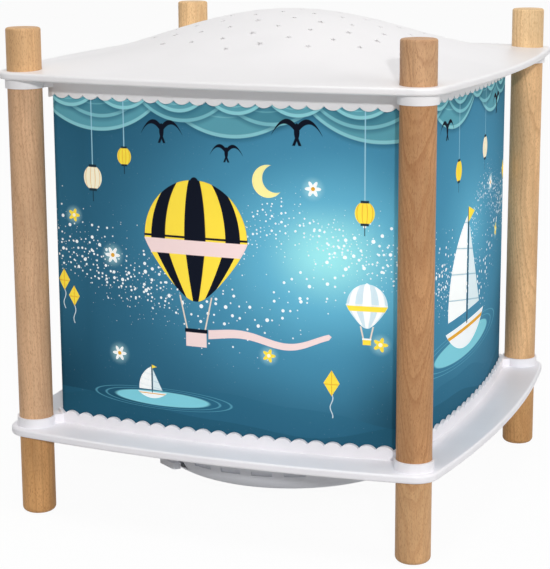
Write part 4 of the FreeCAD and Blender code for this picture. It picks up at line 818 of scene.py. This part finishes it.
for kite in KITES:
    lay_kite(picture, *kite, YELLOW)
for moon in MOONS:
    lay_moon(picture, *moon)
print("kites:", len(KITES), "moons:", len(MOONS))

# %% [markdown]
# ### Ribbons and balloons
# A ribbon trails on the wind behind two of the hot-air balloons. A balloon's gores are equal steps
# of the angle across a globe, so the arcsine of the offset makes them crowd at its sides as they do
# on a round body.

# %% Ribbons
RIBBONS = ((-4.0, 77.0, 48.0), (412.0, 75.0, 44.0))
RIBBON_HALF_WIDTH = 1.5


@motif
def lay_ribbon(picture, place, height, reach, half_width, ink):
    """A sine wave that swings wider and thins towards its notched end."""
    x, y = picture.at(place, height)
    along = x / reach
    wave = (along * 7.5).sine() * (along * 2.4 + 0.6)
    notch = 1.0 - along - abs(y - wave) * 0.02
    cloth = band(y - wave, half_width * (1.15 - along * 0.45))
    picture.lay(cloth.low(along * 40.0).low(notch * 40.0), ink)


for ribbon in RIBBONS:
    lay_ribbon(picture, *ribbon, RIBBON_HALF_WIDTH, SKIN)
print("ribbons:", len(RIBBONS))

# %% Balloons
DARK_GORES, PALE_GORES = (INK, YELLOW, SKIN), (WHITE, "cfe3ec", YELLOW)
BALLOONS = ((-9.0, 112.0, 21.0, DARK_GORES), (57.0, 92.0, 7.5, PALE_GORES),
            (276.0, 106.0, 18.0, PALE_GORES), (236.0, 84.0, 9.0, DARK_GORES),
            (408.0, 106.0, 18.0, DARK_GORES))


@motif
def lay_balloon(picture, place, height, radius, inks):
    """A balloon in three inks, of its gores, the gores between them and its belt. The envelope
    tapers to the basket below."""
    first, second, belt = inks
    x, y = picture.at(place, height)
    taper = 1.0 + (y / radius).low(0.0) * 0.45
    spread = (x / radius) / taper.high(0.2)
    globe = (1.0 - length(spread, (y / radius).high(-1.15) * 0.92)) * radius
    globe_width = (1.0 - (y / radius * 0.8) ** 2.0).high(0.08).root()
    gore = (spread / globe_width).low(1.0).high(-1.0)
    stripe = (gore.math("ARCSINE") * 1.2 + 0.25).fraction() - 0.5
    basket_y = y + radius * 1.62
    for side in (-1, 1):
        rope = band(x - (basket_y * side * 0.22 + side * radius * 0.17), 0.28)
        picture.lay(rope.low(band(basket_y - radius * 0.27, radius * 0.36)), "e9d9c8")
    picture.lay(band(x, radius * 0.2).low(band(basket_y + radius * 0.14, radius * 0.15)), belt)
    picture.lay(band(x, radius * 0.22).low(band(basket_y, radius * 0.035)), first)
    picture.lay(globe, first)
    picture.lay((stripe * radius * 0.5).low(globe), second)
    picture.lay(band(y + radius * 0.12, radius * 0.13).low(globe), belt)
    picture.lay(band(y - radius * 0.06, radius * 0.02).low(globe), first)
    picture.lay(disc(x / 0.75, y - radius * 1.02, radius * 0.12).low(y - radius), first)


for balloon in BALLOONS:
    lay_balloon(picture, *balloon)
print("balloons:", len(BALLOONS))

# %% [markdown]
# ### Boats
# Sailing boats lie in front of everything else. A hull is what an arc and a straight deck enclose,
# the mainsail has the edge of a large disc, and the jib is cut by a slanted line.

# %% Boats
BOATS = ((136.0, 76.0, 34.0), (-28.0, 53.0, 8.0), (388.0, 59.0, 12.0), (300.0, 55.0, 9.0))


@motif
def lay_boat(picture, place, height, size):
    """A hull with a stripe, two sails with seams, a mast and a flag."""
    x, y = picture.at(place, height)
    hull = disc(x, y - size * 0.75, size * 1.15).low(-(y + size * 0.1))
    picture.lay(hull, "f4f9fb")
    picture.lay(hull.low(band(y + size * 0.175, size * 0.022)), AMBER)
    over_deck = y - size * 0.02
    main = disc(x - size * 0.45, y - size * 0.1, size * 1.15).low(-(x + size * 0.04)).low(over_deck)
    jib = over_deck.low(x - size * 0.04).low(-above(x, y, -2.0, size * 1.1))
    picture.lay(main, WHITE)
    picture.lay(jib, "dcecf1")
    seam = ((y + x * 0.18) / (size * 0.3)).fraction() - 0.5
    picture.lay(((0.03 - abs(seam)) * size * 0.3).low(main.high(jib)), "8fb4c2", 0.7)
    picture.lay(band(x, size * 0.02).low(band(y - size * 0.55, size * 0.68)), "30414d")
    flag = above(x, y, 0.35, size * 1.06).low(-above(x, y, -0.35, size * 1.24))
    picture.lay(flag.low(x).low(size * 0.42 - x), YELLOW)


for boat in BOATS:
    lay_boat(picture, *boat)
print("boats:", len(BOATS))

# %% [markdown]
# ### The sheet
# The picture is complete. The same colour also glows a little, most where the lamp stands behind it: painted
# light, an emission that stands in for the lamp's light coming through a translucent sheet. A fine fibre
# breaks up its gloss.

# %% Print the sheet
SHINE_AT_LAMP, SHINE_FAR_OFF = (0.36, 0.36, 0.36), (0.2, 0.2, 0.2)

# The sheet's emission is painted light from the lamp behind it.
shine = sheet.mix(glow.ramp(0.0, 0.9), SHINE_AT_LAMP, SHINE_FAR_OFF)
paper = sheet.noise(sheet.stretched(1.2, 1.2), detail=3.0)
sheet.paint(Base_Color=picture.colour, Roughness=0.4 + paper * 0.1,
            Emission_Color=sheet.mix(1.0, picture.colour, shine, "MULTIPLY"), Emission_Strength=1.0)
wear(sheet, "picture_screen")
print("motifs in the print:", sum(node.type == "GROUP" for node in sheet.tree.nodes))

# %% [markdown]
# ### The film on the drum
# The drum's film carries the part of the picture that moves: pale clouds that drift past behind the
# sheet. They are bands of noise, cut off at a level, in two washes.

# %% Print the film
film = Finish("printed_film")
drift = film.noise(film.stretched(0.035, 0.09), detail=3.0)
film_colour = film.mix(drift.ramp(0.42, 0.50), tint("bfe3ea"), tint("f3fbfc"))
film_colour = film.mix(drift.ramp(0.58, 0.62), film_colour, tint("8ccbd8"))
film.paint(Base_Color=film_colour, Roughness=0.34 + drift * 0.12)
wear(film, "picture_cylinder")
